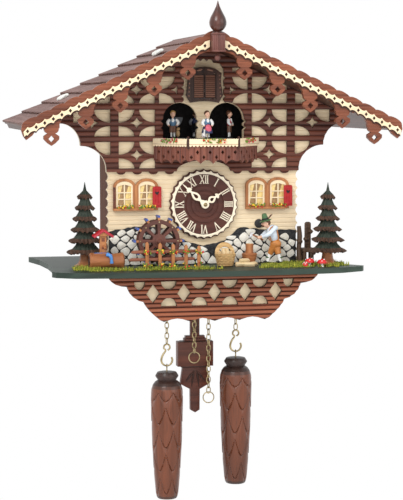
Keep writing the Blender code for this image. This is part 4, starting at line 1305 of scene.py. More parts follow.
def turned_about(shape: Outline, centre: Point2, degrees: float) -> Outline:
    """Turn an outline clockwise about the origin and set it at a centre."""
    a = math.radians(degrees)
    return [(centre[0] + x * math.cos(a) + z * math.sin(a), centre[1] + z * math.cos(a) - x * math.sin(a))
            for x, z in shape]


def copied(piece: Object, place: Matrix) -> Object:
    """Make a moved copy of a piece."""
    return moved(link(piece.name + "_copy", piece.data.copy()), place)


def shift(x: float, y: float, z: float) -> Matrix:
    """Return a move in millimetres."""
    return Matrix.Translation(Vector((x, y, z)) * MM)


def heart(x: float, z: float, size: float) -> Outline:
    """Return a heart's outline, point down."""
    half = [(0, 0.45), (0.35, 0.85), (0.8, 0.85), (1.0, 0.4), (0.8, -0.1), (0, -1.0)]
    return [(x + u * size, z + v * size) for u, v in mirrored(half)]


# ---------------------------------------------------------------- hatch and bird

@dataclass
class Hatch:
    """The louvred doors above, their carved surround and the bird behind them."""

    front: float = -152.0

    def surround(self) -> None:
        """Carve the dark surround with its beads."""
        half = [(0, 30.0), (4.3, 30.0), (10.0, 28.7), (16.2, 24.6), (15.7, 20), (15.9, 14), (16.7, 8),
                (17.6, 4.3),
                (13.5, -2.9), (9, -2.0), (4, -1.4), (0, -1.3)]
        board = plate("surround", [mirrored(half), rectangle(-10.9, 0.7, 10.9, 24.0)], self.front, 3.4, 0.5)
        inner = plate("bead", [rectangle(-12.3, -0.6, 12.3, 25.4), rectangle(-10.9, 0.7, 10.9, 24.0)],
                      self.front - 0.6, 1.0, 0.3)
        parts = Kit([dressed(board, HATCH_WOOD), dressed(inner, HATCH_WOOD)])
        for side in (-1, 1):
            for i in range(6):
                spot = lump("dot", (side * (14.2 + 0.14 * i), self.front, 22.5 - 3.8 * i), (0.65, 0.45, 0.9))
                parts.add(spot, MID_BROWN_AND_HIGHLIGHT)
            parts.add(lump("leaf", (side * 5.0, self.front, 27.2), (3.0, 0.5, 0.8), (0, side * 14, 0)),
                      MID_BROWN_AND_HIGHLIGHT)
        fitted(joined("cuckoo_surround", parts), stands_for=["cuckoo_frame"])

    def leaf(self, name: str, side: int) -> None:
        """Make one louvred door."""
        shape = flipped(rectangle(0.25, 0.95, 10.6, 23.7), side)
        window = flipped(rectangle(1.1, 1.9, 9.8, 22.8), side)
        # A dark sheet behind the slats paints the shade in the gaps between them.
        parts = Kit([dressed(plate("rim", [shape, window], -151.7, 1.5, 0.2), HATCH_WOOD),
                     dressed(plate("shade", [shape], -150.35, 0.3, 0.1), DARK_WOOD_AND_SHADE)])
        # The slats' lighter wood is a painted highlight.
        for i in range(11):
            z = 2.9 + 1.89 * i
            slat = block("slat", (1.0, -151.3, z - 0.74), (9.9, -150.8, z + 0.74), 0.12,
                         Matrix.Rotation(math.radians(-36), 4, "X"))
            slat.data.transform(Matrix.Diagonal((side, 1, 1, 1)))
            if side < 0:
                slat.data.flip_normals()
            parts.add(slat, MID_BROWN_AND_HIGHLIGHT)
        fitted(joined(name + "_louvred", parts), name, [name])

    def bird(self) -> None:
        """Carve the bird on its slide."""
        parts = Kit([dressed(lump("body", (0, -130, 10), (5.2, 8.3, 5.0), (-14, 0, 0), 0.06), BIRD_BROWN),
                     dressed(lump("breast", (0, -133.4, 8.9), (4.3, 4.6, 4.0), rough=0.04), BIRD_BREAST),
                     dressed(lump("head", (0, -136.4, 14.4), (3.6, 3.8, 3.6), rough=0.05), BIRD_BROWN),
                     dressed(strand("beak", [(0, -139.2, 14.3), (0, -141.8, 13.7)], [1.2, 0.2], smooth=False),
                             BEAK_ORANGE),
                     dressed(block("tail", (-2.3, -124, 8.7), (2.3, -115, 10.2), 0.4), BIRD_BROWN),
                     dressed(block("slide_arm", (-1.6, -131, 3.05), (1.6, -92, 5.35), 0.3), STEEL)])
        for side in (-1, 1):
            parts.add(lump("wing", (side * 4.6, -128.5, 10.8), (1.2, 6.4, 3.3), (-18, 0, 0), 0.1),
                      BIRD_BROWN)
            parts.add(lump("eye", (side * 2.9, -138.2, 15.4), (0.6, 0.6, 0.6)), BLACK_PAINT)
        fitted(joined("cuckoo_carved", parts), "cuckoo", ["cuckoo_bird"])
        kept("cuckoo_guide", STEEL)

    def build(self) -> None:
        """Make the hatch and the bird."""
        self.surround()
        self.leaf("cuckoo_door_left", -1)
        self.leaf("cuckoo_door_right", 1)
        self.bird()


# ---------------------------------------------------------------- dancers

@dataclass(frozen=True)
class Dress:
    """What one dancer wears."""

    hair: Look
    top: Look
    sleeve: Look
    lower: Look
    apron: Look | None = None


@dataclass
class Carousel:
    """The turning disc behind the doors and its four painted dancers."""

    floor: float = -35.9
    axis_y: float = -136.0
    reach: float = 27.0

    def dancer(self, name: str, x: float, y: float, wears: Dress, pet: str = "", facing: float = 0) -> None:
        """Make one painted dancer.

        Args:
            name: The frame node that it stands for.
            x: Where it stands across the front.
            y: Where it stands in depth.
            wears: Its clothes.
            pet: The small animal beside it, if any.
            facing: Degrees that it looks to the right of straight ahead.
        """
        z = self.floor
        turn = Matrix.Rotation(math.radians(facing), 4, "Z")
        parts = Kit()
        girl = wears.apron is not None
        if girl:
            skirt = [(0, 14.2), (2.3, 14.2), (2.7, 12.6), (4.0, 10.0), (4.8, 7.2), (5.1, 5.4), (4.8, 5.0),
                     (0, 5.0)]
            parts.add(turned("skirt", skirt, (0, 0, z), 36, ripple=lambda a, h: 0.035 * math.sin(12 * a)),
                      wears.lower)
            parts.add(lump("apron", (0, -2.7, z + 9.4), (3.1, 2.2, 4.0), (-14, 0, 0)), wears.apron)
        for side in (-1, 1):
            parts.add(lump("shoe", (side * 1.5, -0.8, z + 0.8), (1.1, 2.0, 0.9)), BLACK_PAINT)
            parts.add(strand("leg", [(side * 1.5, 0, z + 0.8), (side * 1.4, 0, z + 7)], 0.95), WHITE_PAINT)
            if not girl:
                parts.add(strand("short", [(side * 1.5, 0, z + 5.4), (side * 1.3, 0, z + 11.6)],
                                 [1.9, 2.0], smooth=False), wears.lower)
            arm = [(side * 3.0, 0, z + 17.6), (side * 4.9, -0.6, z + 14.6), (side * 3.9, -2.3, z + 12.2)]
            parts.add(strand("sleeve", arm, [1.35, 1.5, 1.0]), wears.sleeve)
            parts.add(lump("hand", arm[-1], (0.9, 0.9, 0.9)), SKIN)
            parts.add(lump("eye", (side * 1.0, -2.5, z + 22.7), (0.3, 0.2, 0.35), detail=2), BLACK_PAINT)
        parts.add(lump("chest", (0, 0, z + 14.8), (3.0, 2.3, 4.3), rough=0.03), wears.top)
        parts.add(lump("shirt", (0, -1.5, z + 16.6), (1.5, 1.2, 2.1)), wears.sleeve)
        parts.add(strand("neck", [(0, 0, z + 18.5), (0, 0, z + 20.4)], 1.0), SKIN)
        parts.add(lump("head", (0, -0.2, z + 22.4), (2.4, 2.5, 2.8)), SKIN)
        parts.add(lump("hair", (0, 0.6, z + 23.4), (2.75, 2.6, 2.7), rough=0.12, grain=500), wears.hair)
        parts.add(lump("nose", (0, -2.7, z + 22.1), (0.35, 0.4, 0.5), detail=2), SKIN)
        if pet == "dog":
            parts += [dressed(lump("dog_body", (4.7, -1.6, z + 4.4), (1.8, 2.5, 3.4), rough=0.06), FUR_TAN),
                      dressed(lump("dog_head", (4.8, -3.2, z + 8.6), (1.7, 2.0, 1.7), rough=0.06), FUR_TAN),
                      dressed(lump("dog_nose", (4.8, -5.1, z + 8.2), (0.9, 1.1, 0.8)), FUR_TAN),
                      dressed(lump("dog_ear", (6.1, -2.6, z + 9.1), (0.5, 0.9, 1.4)), HAIR_BROWN)]
        if pet == "goose":
            parts += [dressed(lump("goose_body", (-4.5, -1.8, z + 3.4), (1.7, 2.6, 2.3)), WHITE_PAINT),
                      dressed(strand("goose_neck",
                                     [(-4.5, -3.4, z + 4.2), (-4.6, -4.1, z + 7.0), (-4.6, -4.3, z + 9.0)],
                                     [1.0, 0.7, 0.9]), WHITE_PAINT),
                      dressed(strand("goose_bill", [(-4.6, -4.9, z + 9.0), (-4.6, -6.3, z + 8.7)],
                                     [0.5, 0.15]),
                              BEAK_ORANGE)]
        figure = moved(joined(name + "_painted", parts), shift(x, y, 0) @ turn)
        fitted(figure, "carousel", [name])

    def build(self) -> None:
        """Make the turning disc and the dancers."""
        axis = (0, self.axis_y, 0)
        disc = turned("disc", [(0, -36.0), (30.6, -36.0), (31, -36.4), (31, -37.6), (30.6, -38), (0, -38)],
                      axis, 64)
        post = turned("post", [(0, -38), (2.5, -38), (2.5, -59.7), (0, -59.7)], axis, 24)
        seam = turned("seam", [(0, -35.95), (29.2, -35.95), (29.2, -36.1), (0, -36.1)], axis, 64)
        fitted(joined("carousel_disc", [dressed(disc, GREY_PLASTIC), dressed(post, STEEL),
                                        dressed(seam, GREY_PLASTIC)]),
               "carousel", ["carousel"])
        # A near-black lining behind the doors paints the shade inside the case.
        lining = dressed(plate("lining", [rectangle(-73, -38.8, 73, -1.2)], -98.2, 1.2, 0.2), INSIDE_SHADE_PAINT)
        cam = plate("cam", [[(-20.9, -16.6), *arc(-20.9, -16.6, 10.7, 10.7, 270, 360, 14)]], -99.4, 1.0, 0.2)
        fitted(joined("carousel_lining", [lining, dressed(cam, GREY_PLASTIC)]))
        boy_blue = Dress(HAIR_BLOND, CLOTH_BLUE, WHITE_PAINT, CLOTH_BROWN)
        boy_red = Dress(HAIR_BROWN, CLOTH_RED, WHITE_PAINT, CLOTH_BROWN)
        girl = Dress(HAIR_BROWN, CLOTH_BLUE, WHITE_PAINT, CLOTH_NAVY, BLOOM_PINK)
        # The dancer at the back wears dark colours that paint the shade inside the case, and a grey sleeve
        # that paints a dim glint.
        inside = Dress(HAIR_BROWN, CLOTH_NAVY, GREY_PLASTIC, BLACK_PAINT, CLOTH_BROWN)
        self.dancer("dancer_boy_dog", -self.reach, self.axis_y, boy_blue, "dog", -8)
        self.dancer("dancer_girl", 0, self.axis_y - self.reach, girl, "goose", 12)
        self.dancer("dancer_boy_red", self.reach, self.axis_y, boy_red, facing=62)
        self.dancer("dancer_girl_inside", 0, self.axis_y + self.reach, inside, facing=180)


# ---------------------------------------------------------------- balcony

@dataclass
class Balcony:
    """The bayed balcony with its pickets, its cream rail and its flowers."""

    path: tuple[Point2, ...] = ((-47.5, -148.6), (-21.8, -182), (25.2, -182), (51, -148.6))
    rng: random.Random = field(default_factory=lambda: random.Random(5))

    def build(self) -> None:
        """Make each side of the balcony, its floor and its knobs."""
        skirts, rails, flowers = [], [], []
        for number, (start, end) in enumerate(zip(self.path, self.path[1:])):
            length = math.dist(start, end)
            turn = math.atan2(end[1] - start[1], end[0] - start[0])
            place = shift(start[0], start[1], 0) @ Matrix.Rotation(turn, 4, "Z")
            for piece, rack in ((self.skirt(length), skirts), (self.rail(length), rails)):
                rack.append(moved(piece, place))
            blooms = (BLOOM_RED, BLOOM_RED, BLOOM_YELLOW, BEAK_ORANGE) if number == 1 else (BLOOM_RED,
                                                                                            BLOOM_PINK)
            bunch = bouquet("balcony_flowers", (length / 2, -2.3, -37.2), (length * 0.24, 0.8, 1.9), 48,
                            self.rng, blooms)
            flowers.append(moved(bunch, place))
        left, right = self.path[0][0], self.path[-1][0]
        floor = plate("balcony_floor", [[*self.path, (right, -148.2), (left, -148.2)]], -39.4, 2.0, 0.1,
                      Plane.LEVEL)
        fitted(joined("balcony_pickets", [*skirts, dressed(floor, LATTICE_WOOD)]),
               stands_for=["balcony"])
        for x, _ in self.path[1:3]:
            knob = turned("knob", [(0, 5.4), (0.8, 5.2), (1.2, 4.4), (0.9, 3.6), (0.7, 3.2), (1.0, 2.6),
                                   (1.3, 1.6),
                                   (1.3, -5), (0.9, -6), (0, -6)], (x, -182.9, -38.5), 20)
            rails.append(dressed(knob, DARK_WOOD_AND_SHADE))
        fitted(joined("balcony_rail", rails), stands_for=["balcony_trim"])
        fitted(joined("balcony_flower_boxes", flowers))

    def skirt(self, length: float) -> Object:
        """Make one side's carved pickets."""
        count = 4 if length > 45 else 3
        middle, pitch = length / 2, 11.7
        low = [(0.15, -56.0)]
        for i in range(-2, 3):
            tip = middle + pitch * i
            if 0.6 < tip < length - 0.6:
                low.append((tip, -58.2))
            if i < 2:
                low += [(tip + pitch * (0.5 + 0.38 * s), -54.6 - 2.0 * s * s) for s in (-0.8, -0.4, 0, 0.4,
                                                                                        0.8)
                        if 0.6 < tip + pitch * (0.5 + 0.38 * s) < length - 0.6]
        low.append((length - 0.15, -56.0))
        holes = []
        for i in range(-count, count):
            x = middle + (i + 0.5) * pitch / 2
            if 3 < x < length - 3:
                holes.append(diamond(x, -47.7 if i % 2 else -52.1, 1.5, 2.2))
        board = milled("pickets", [[*low, (length - 0.15, -40.5), (0.15, -40.5)], *holes], 0.0, 2.0,
                       pitch / 2,
                       lambda t: 0.8 * (2 * t - 1) ** 6, True, middle, 8)
        return dressed(board, PICKET_WOOD)

    def rail(self, length: float) -> Object:
        """Make one side's cream rail with its lobed hem and carved line."""
        lobes = scalloped((0.2, -41.2), (length - 0.2, -41.2), round(length / 3.3), -1.6)
        top = scalloped((length - 0.2, -35.2), (0.2, -35.2), round(length / 1.8), 0.45, 4)
        board = dressed(plate("rail", [[*lobes, *top]], -1.9, 1.7, 0.3), CREAM_CARVING)
        line = dressed(block("line", (0.6, -2.0, -40.7), (length - 0.6, -1.6, -40.35), 0.1), MID_BROWN_AND_HIGHLIGHT)
        return joined("rail", [board, line])


# ---------------------------------------------------------------- dial and hands

@dataclass
class Dial:
    """The carved dial, its Roman numerals and its two hands."""

    centre: Point2 = DIAL_CENTRE

    def around(self, radius: float, count: int, depth: float, sharp: float = 1.0, steps: int = 6) -> Outline:
        """Return a ring outline with concave bites and points between them."""
        line = []
        for i in range(count * steps):
            t = (i % steps) / steps
            r = radius - depth * math.sin(math.pi * t) ** sharp
            a = 2 * math.pi * i / (count * steps) + math.pi / 2
            line.append((self.centre[0] + r * math.cos(a), self.centre[1] + r * math.sin(a)))
        return line

    def numeral(self, text: str, degrees: float) -> list[Outline]:
        """Return the strokes of one numeral, its foot towards the dial's centre.

        Args:
            text: The numeral's letters.
            degrees: Its clockwise angle on the dial.

        Returns:
            The strokes' outlines.
        """
        widths = {"I": 1.9, "V": 4.4, "X": 4.6}
        low, high, half = 19.4, 27.2, 0.46
        place = -sum(widths[c] for c in text) / 2
        strokes = []
        for letter in text:
            wide = widths[letter]
            left, right, middle = place + 0.55, place + wide - 0.55, place + wide / 2
            if letter == "I":
                strokes.append(rectangle(middle - half, low, middle + half, high))
                serifs = ((middle, low), (middle, high))
            elif letter == "V":
                for foot, thick in ((left, half), (right, half * 0.6)):
                    strokes.append([(foot - thick, high), (middle - thick, low), (middle + thick, low),
                                    (foot + thick, high)])
                serifs = ((left, high), (right, high))
            else:
                for foot, head, thick in ((left, right, half * 0.6), (right, left, half)):
                    strokes.append([(foot - thick, low), (foot + thick, low), (head + thick, high),
                                    (head - thick, high)])
                serifs = ((left, low), (right, low), (left, high), (right, high))
            for x, z in serifs:
                strokes.append(rectangle(x - 0.95, z - 0.2, x + 0.95, z + 0.25))
            place += wide
        return [turned_about(stroke, self.centre, degrees) for stroke in strokes]

    def face(self) -> None:
        """Make the brown disc, its rings, the cream ring and the numerals."""
        x, z = self.centre
        rim = plate("rim", [self.around(33.0, 30, 1.3), circle(x, z, 3.4)], -147.3, 2.0, 0.25)
        steps = [(3.4, 1.6), (3.4, 3.4), (8.6, 3.4), (8.9, 3.9), (12.0, 3.9), (12.3, 3.3), (13.2, 3.3),
                 (13.5, 3.9),
                 (17.0, 3.9), (17.3, 3.2), (18.3, 3.2), (18.6, 3.7), (28.2, 3.7), (28.4, 1.6), (3.4, 1.6)]
        disc = turned("disc", steps, (x, -145.8, z), 72, "Y", angle=25)
        fitted(joined("dial_carved", [dressed(rim, DIAL_WOOD), dressed(disc, DIAL_WOOD)]),
               stands_for=["dial_disc"])
        ring = dressed(plate("ring", [self.around(31.7, 30, 1.5, 0.8), circle(x, z, 28.3, 72)], -150.3, 2.6,
                             0.3),
                       CREAM_DIAL)
        beads = [dressed(turned("bead", [(0, 0.35), (0.5, 0.2), (0.7, 0), (0, 0)],
                                (x + 29.6 * math.sin(math.radians(6 * i)), -150.2,
                                 z + 29.6 * math.cos(math.radians(6 * i))),
                                8, "Y"), CREAM_DIAL) for i in range(60)]
        shapes = []
        for hour, text in enumerate(("XII", "I", "II", "III", "IIII", "V", "VI", "VII", "VIII", "IX", "X",
                                     "XI")):
            shapes += self.numeral(text, 30 * hour)
        figures = dressed(prisms("numerals", shapes, -150.05, 0.7), CREAM_DIAL)
        fitted(joined("dial_ring_and_numerals", [ring, figures, *beads]),
               stands_for=["dial_ring"])

    def hand(self, name: str, length: float, degrees: float, front: float, thickness: float) -> Object:
        """Make one carved hand with its eye, leaf and scrolls."""
        s = length / 30
        half = [(0, 30 * s), (0.55, 26.5 * s), (0.75, 22.6 * s), (1.5, 22.3 * s), (2.5, 20.8 * s),
                (2.6, 19.4 * s),
                (1.7, 18.6 * s), (1.0, 18.9 * s), (0.95, 17.4 * s), (1.7, 16.0 * s), (3.0, 13.4 * s),
                (3.35, 11.2 * s),
                (2.8, 8.8 * s), (1.5, 7.0 * s), (1.05, 5.6 * s), (2.3, 3.6), (3.3, 1.4), (3.4, 0),
                (2.4, -2.4), (0, -3.4)]
        eye = [(0, 15.4 * s), (1.1, 13.0 * s), (1.55, 11.4 * s), (1.1, 9.8 * s), (0, 9.2 * s)]
        loops = [turned_about(mirrored(part), self.centre, degrees) for part in (half, eye)]
        return dressed(plate(name, loops, front, thickness, 0.3), CREAM_DIAL)

    def hands(self) -> None:
        """Make both hands on their arbors."""
        x, z = self.centre
        minute = [self.hand("minute", 30, -48, -154.6, 1.0),
                  dressed(strand("arbor", [(x, -154, z), (x, -146, z)], 1.3, smooth=False, sides=6), BRASS),
                  dressed(turned("nut", [(0, 1.5), (1.4, 1.5), (1.9, 1.1), (3.5, 0.9), (3.8, 0.2), (3.8, 0),
                                         (0, 0)],
                                 (x, -154.5, z), 32, "Y"), CREAM_DIAL),
                  dressed(turned("dome", [(0, 2.5), (1.0, 2.3), (1.7, 1.7), (1.9, 1.0), (0, 1.0)],
                                 (x, -154.5, z), 24, "Y"),
                          BRASS)]
        fitted(joined("minute_hand_carved", minute), "minute_hand", ["minute_hand"])
        tube = turned("tube", [(1.6, 6.5), (2.1, 6.5), (2.1, 0), (1.6, 0), (1.6, 6.5)], (x, -146, z), 28, "Y")
        disc = self.hand("hour", 21, 56, -152.7, 1.1)
        fitted(joined("hour_hand_carved", [disc, dressed(tube, BRASS)]), "hour_hand",
               ["hour_hand"])

    def build(self) -> None:
        """Make the dial and the hands."""
        self.face()
        self.hands()


# ---------------------------------------------------------------- windows

@dataclass
class Windows:
    """Two pairs of arched windows with shutters and flower boxes."""

    sill: float = -102.0
    spring: float = -80.0
    rng: random.Random = field(default_factory=lambda: random.Random(23))

    def arch(self, left: float, wide: float, base: float, rise: float, inset: float = 0.0) -> Outline:
        """Return an arched opening's outline."""
        middle, half = left + wide / 2, wide / 2 - inset
        return [(middle - half, base), (middle + half, base),
                *arc(middle, self.spring, half, rise - inset, 0, 180, 14)]

    def pair(self, name: str, left: float, dark_jamb: bool) -> None:
        """Make one pair of windows with its shutter and flowers."""
        wide = 21.0
        outline = [(left, self.sill), (left + 2 * wide, self.sill),
                   *arc(left + 1.5 * wide, self.spring, wide / 2, 7.5, 0, 165, 12),
                   *arc(left + 0.5 * wide, self.spring, wide / 2, 7.5, 15, 180, 12)]
        openings = [self.arch(left + i * wide, wide, self.sill + 3.2, 7.5, 2.6) for i in range(2)]
        parts = Kit([dressed(plate("frame", [outline, *openings], -148.3, 3.0, 0.35), HONEY_WOOD)])
        for i in range(2):
            x = left + i * wide
            sash = self.arch(x, wide, self.sill + 3.0, 7.5, 2.4)
            panes = []
            for row, (low, high) in enumerate(((-97.2, -92.2), (-91.1, -86.1), (-85.0, -78.2))):
                for side in (-1, 1):
                    x0, x1 = sorted((x + wide / 2 + side * 0.6, x + wide / 2 + side * 6.2))
                    top = high - (1.6 if row == 2 else 0)
                    corner = (x1 if side > 0 else x0)
                    inner = (x0 if side > 0 else x1)
                    shape = [(inner, low), (corner, low), (corner, top), (inner, high)]
                    panes.append(shape if side > 0 else list(reversed(shape)))
            parts.add(plate("sash", [sash, *panes], -147.6, 1.4, 0.2), CREAM_CARVING)
            glass = plate("pane", [self.arch(x, wide, self.sill + 3.0, 7.5, 2.7)], -146.2, 0.7, 0.1)
            parts.add(glass, PANE_AMBER)
            # A darker diagonal band across each pane is a painted reflection.
            parts.add(prisms("gloom", [[(x + 4.4, -97), (x + 9.5, -97), (x + 14.5, -79), (x + 9.5, -76)]],
                             -146.35, 0.2), PANE_REFLECTION_PAINT)
        post = [rectangle(left + wide - 1.3, self.sill, left + wide + 1.3, -79.5)]
        parts.add(plate("post", post, -149.0, 1.4, 0.4), HONEY_WOOD)
        if dark_jamb:
            parts.add(plate("jamb", [rectangle(left - 0.1, self.sill, left + 2.1, -80.5)], -149.0, 1.2, 0.3),
                      LATTICE_WOOD)
        parts.add(block("sill", (left - 0.6, -150.6, self.sill - 0.2),
                        (left + 2 * wide - 4.5, -147.4, self.sill + 2.0),
                        0.4), HONEY_WOOD)
        fitted(joined(name + "_joinery", parts), stands_for=[name])
        flowers = [bouquet("flowers", (left + wide * (0.5 + i), -150.4, self.sill + 3.4), (7.6, 0.9, 1.5), 46,
                           self.rng,
                           (BLOOM_YELLOW, BLOOM_YELLOW, BLOOM_RED)) for i in range(2)]
        fitted(joined(name + "_flowers", flowers))
        start = left + 36.6
        shape = [(start, -99.6), (start + 8.3, -99.6), (start + 8.3, -81.2), (start + 7.2, -80.0),
                 (start + 1.1, -80.0),
                 (start, -81.2)]
        board = milled("board", [shape, heart(start + 4.15, -86.3, 1.9)], -149.9, 1.4, 2.77,
                       lambda t: 0.35 * (2 * t - 1) ** 8, True, start, 8)
        void = prisms("void", [heart(start + 4.15, -86.3, 2.2)], -148.9, 0.3)
        battens = [dressed(block("batten", (start + 0.6, -150.3, z), (start + 7.7, -149.6, z + 1.5), 0.2),
                           SHUTTER_RED)
                   for z in (-97.6, -82.9)]
        fitted(joined(name + "_shutter", [dressed(board, SHUTTER_RED), dressed(void, BLACK_PAINT), *battens]))

    def build(self) -> None:
        """Make both pairs."""
        self.pair("window_left", -85.3, True)
        self.pair("window_right", 40.1, False)


# ---------------------------------------------------------------- platform, apron and yard

@dataclass
class Platform:
    """The platform, the mossy ground on it, its mushrooms and the carved apron under it."""

    top: float = -153.5
    apron_front: float = -197.0
    rng: random.Random = field(default_factory=lambda: random.Random(31))

    def apron(self) -> None:
        """Mill the reeded apron and its cream backing."""
        half = [(97.5, -158.6), (96.5, -160.5), (94.5, -163), (91, -165.4), (86, -167), (80.6, -167.6),
                (79.8, -170),
                (78, -173.6), (74.5, -177.5), (70, -180.4), (65.4, -181.6), (64.4, -184), (62, -187.4),
                (59, -191),
                (54, -195.6), (50.5, -198.6), (47, -200.2), (44, -199.4), (40, -198.0), (35, -197.3),
                (30, -198.0),
                (26, -199.4), (23, -200.3), (20, -199.4), (16, -198.1), (11.5, -197.4), (7, -198.1),
                (3, -199.6),
                (0, -200.4)]
        holes = [diamond(x, -174.3, 6.3, 8.6) for x in (-57, -28.5, 0, 28.5, 57)]
        for side in (-1, 1):
            for x, wide in ((69.2, 5.0), (42.5, 7.2), (14.2, 7.2)):
                holes.append(flipped([(x - wide, -163.4), *arc(x, -163.6, wide, 7.2, 180, 360, 12),
                                      (x + wide, -163.4)], side))
            for x in (42.5, 14.2):
                holes.append(flipped([(x + 7.4, -186.2), *arc(x, -186.0, 7.4, 7.6, 0, 180, 12),
                                      (x - 7.4, -186.2)], side))
        outline = mirrored([(0, -158.6), *half])
        board = milled("apron", [outline, *holes], self.apron_front, 5.0, 4.1, reed(1.35), origin=-158.6)
        # The faces deep in the reeds' grooves get painted shade.
        shade_grooves(dressed(board, APRON_WOOD), GROOVE_SHADE, self.apron_front, 0.7)
        fitted(board, stands_for=["apron_board"])
        inner = [(90, -158.8), (86, -163), (76, -166), (73.5, -172), (62, -179), (50, -189.4), (44, -192.4),
                 (0, -193.4)]
        backing = plate("apron_liner", [mirrored([(0, -158.8), *inner])], -191.7, 2.0, 0.3)
        fitted(dressed(backing, CREAM_CARVING), stands_for=["apron_backing"])

    def tuft(self, bm: bmesh.types.BMesh, x: float, y: float, tall: float) -> None:
        """Add one blade of grass."""
        lean, way = self.rng.uniform(0.05, 0.5) * tall, self.rng.uniform(0, 2 * math.pi)
        wide = self.rng.uniform(0.25, 0.5)
        foot = Vector((x, y, self.top))
        side = Vector((math.cos(way + 1.57), math.sin(way + 1.57), 0)) * wide
        out = Vector((math.cos(way), math.sin(way), 0))
        base = [foot - side, foot + side, foot + out * wide]
        waist = [v + out * lean * 0.3 + Vector((0, 0, tall * 0.55)) for v in (foot - side * 0.7,
                                                                              foot + side * 0.7,
                                                                               foot + out * wide * 0.7)]
        low = [bm.verts.new(v * MM) for v in base]
        mid = [bm.verts.new(v * MM) for v in waist]
        tip = bm.verts.new((foot + out * lean + Vector((0, 0, tall))) * MM)
        bm.faces.new(low)
        for i in range(3):
            j = (i + 1) % 3
            bm.faces.new((low[i], low[j], mid[j], mid[i]))
            bm.faces.new((mid[i], mid[j], tip))

    def meadow(self, name: str, areas: Sequence[tuple[float, float, float, float, int]]) -> None:
        """Lay moss cushions and grass over rectangles of the platform.

        Args:
            name: The patch's name.
            areas: Each area's X and Y limits and how many cushions it has.
        """
        cushions = []
        bm = bmesh.new()
        for x0, x1, y0, y1, count in areas:
            for _ in range(count):
                x, y = self.rng.uniform(x0, x1), self.rng.uniform(y0, y1)
                size = self.rng.uniform(1.2, 3.4)
                cushions.append(lump("moss", (x, y, self.top + 0.25),
                                     (size, size * 0.8, self.rng.uniform(0.6, 1.5)),
                                     (0, 0, self.rng.uniform(0, 180)), 0.35, 900, 2))
                for _ in range(7):
                    self.tuft(bm, x + self.rng.uniform(-3, 3), min(y1, max(y0, y + self.rng.uniform(-2, 2))),
                              self.rng.uniform(1.6, 4.2))
        bmesh.ops.recalc_face_normals(bm, faces=bm.faces)
        fitted(dressed(joined(name + "_moss", cushions), MOSS))
        fitted(dressed(from_bmesh(name + "_grass", bm), GRASS))

    def mushroom(self, x: float, y: float, wide: float, tall: float) -> Object:
        """Make one red mushroom with white spots."""
        z = self.top
        parts = Kit([dressed(turned("stem", [(0, tall - 1.5), (1.1, tall - 1.5), (1.2, 1.5), (1.9, 0),
                                             (0, 0)], (x, y, z), 20),
                             WHITE_PAINT)])
        cap = [(0, tall)] + [(wide * math.sin(math.radians(a)), tall - 3.4 + 3.4 * math.cos(math.radians(a)))
                             for a in range(15, 100, 12)] + [(wide * 0.7, tall - 3.6), (0, tall - 2.8)]
        parts.add(turned("cap", cap, (x, y, z), 28), BLOOM_RED)
        for i in range(7):
            a, tilt = math.radians(51 * i), math.radians(30 + 28 * (i % 2))
            spot = (x + wide * math.sin(tilt) * math.cos(a), y + wide * math.sin(tilt) * math.sin(a),
                    z + tall - 3.4 + 3.4 * math.cos(tilt))
            parts.add(lump("spot", spot, (0.6, 0.6, 0.5), detail=2), WHITE_PAINT)
        return joined("mushroom", parts)

    def build(self) -> None:
        """Make the platform's pieces."""
        kept("base_platform", PLATFORM_PAINT, 1.2)
        self.apron()
        self.meadow("left_ground", ((-124, -104, -182, -156, 26), (-112, -98, -190, -178, 16),
                                    (-98, -34, -192, -183, 52), (-34, 10, -193, -186, 20)))
        self.meadow("right_ground", ((44, 84, -192, -172, 40), (82, 121, -193, -166, 70),
                                     (74, 108, -170, -150, 34), (118, 128, -186, -160, 12)))
        pair = [self.mushroom(92.4, -185, 4.5, 7.6), self.mushroom(102.4, -191, 4.4, 7.2),
                self.mushroom(86.6, -190.5, 2.6, 4.6)]
        fitted(joined("mushrooms", pair))


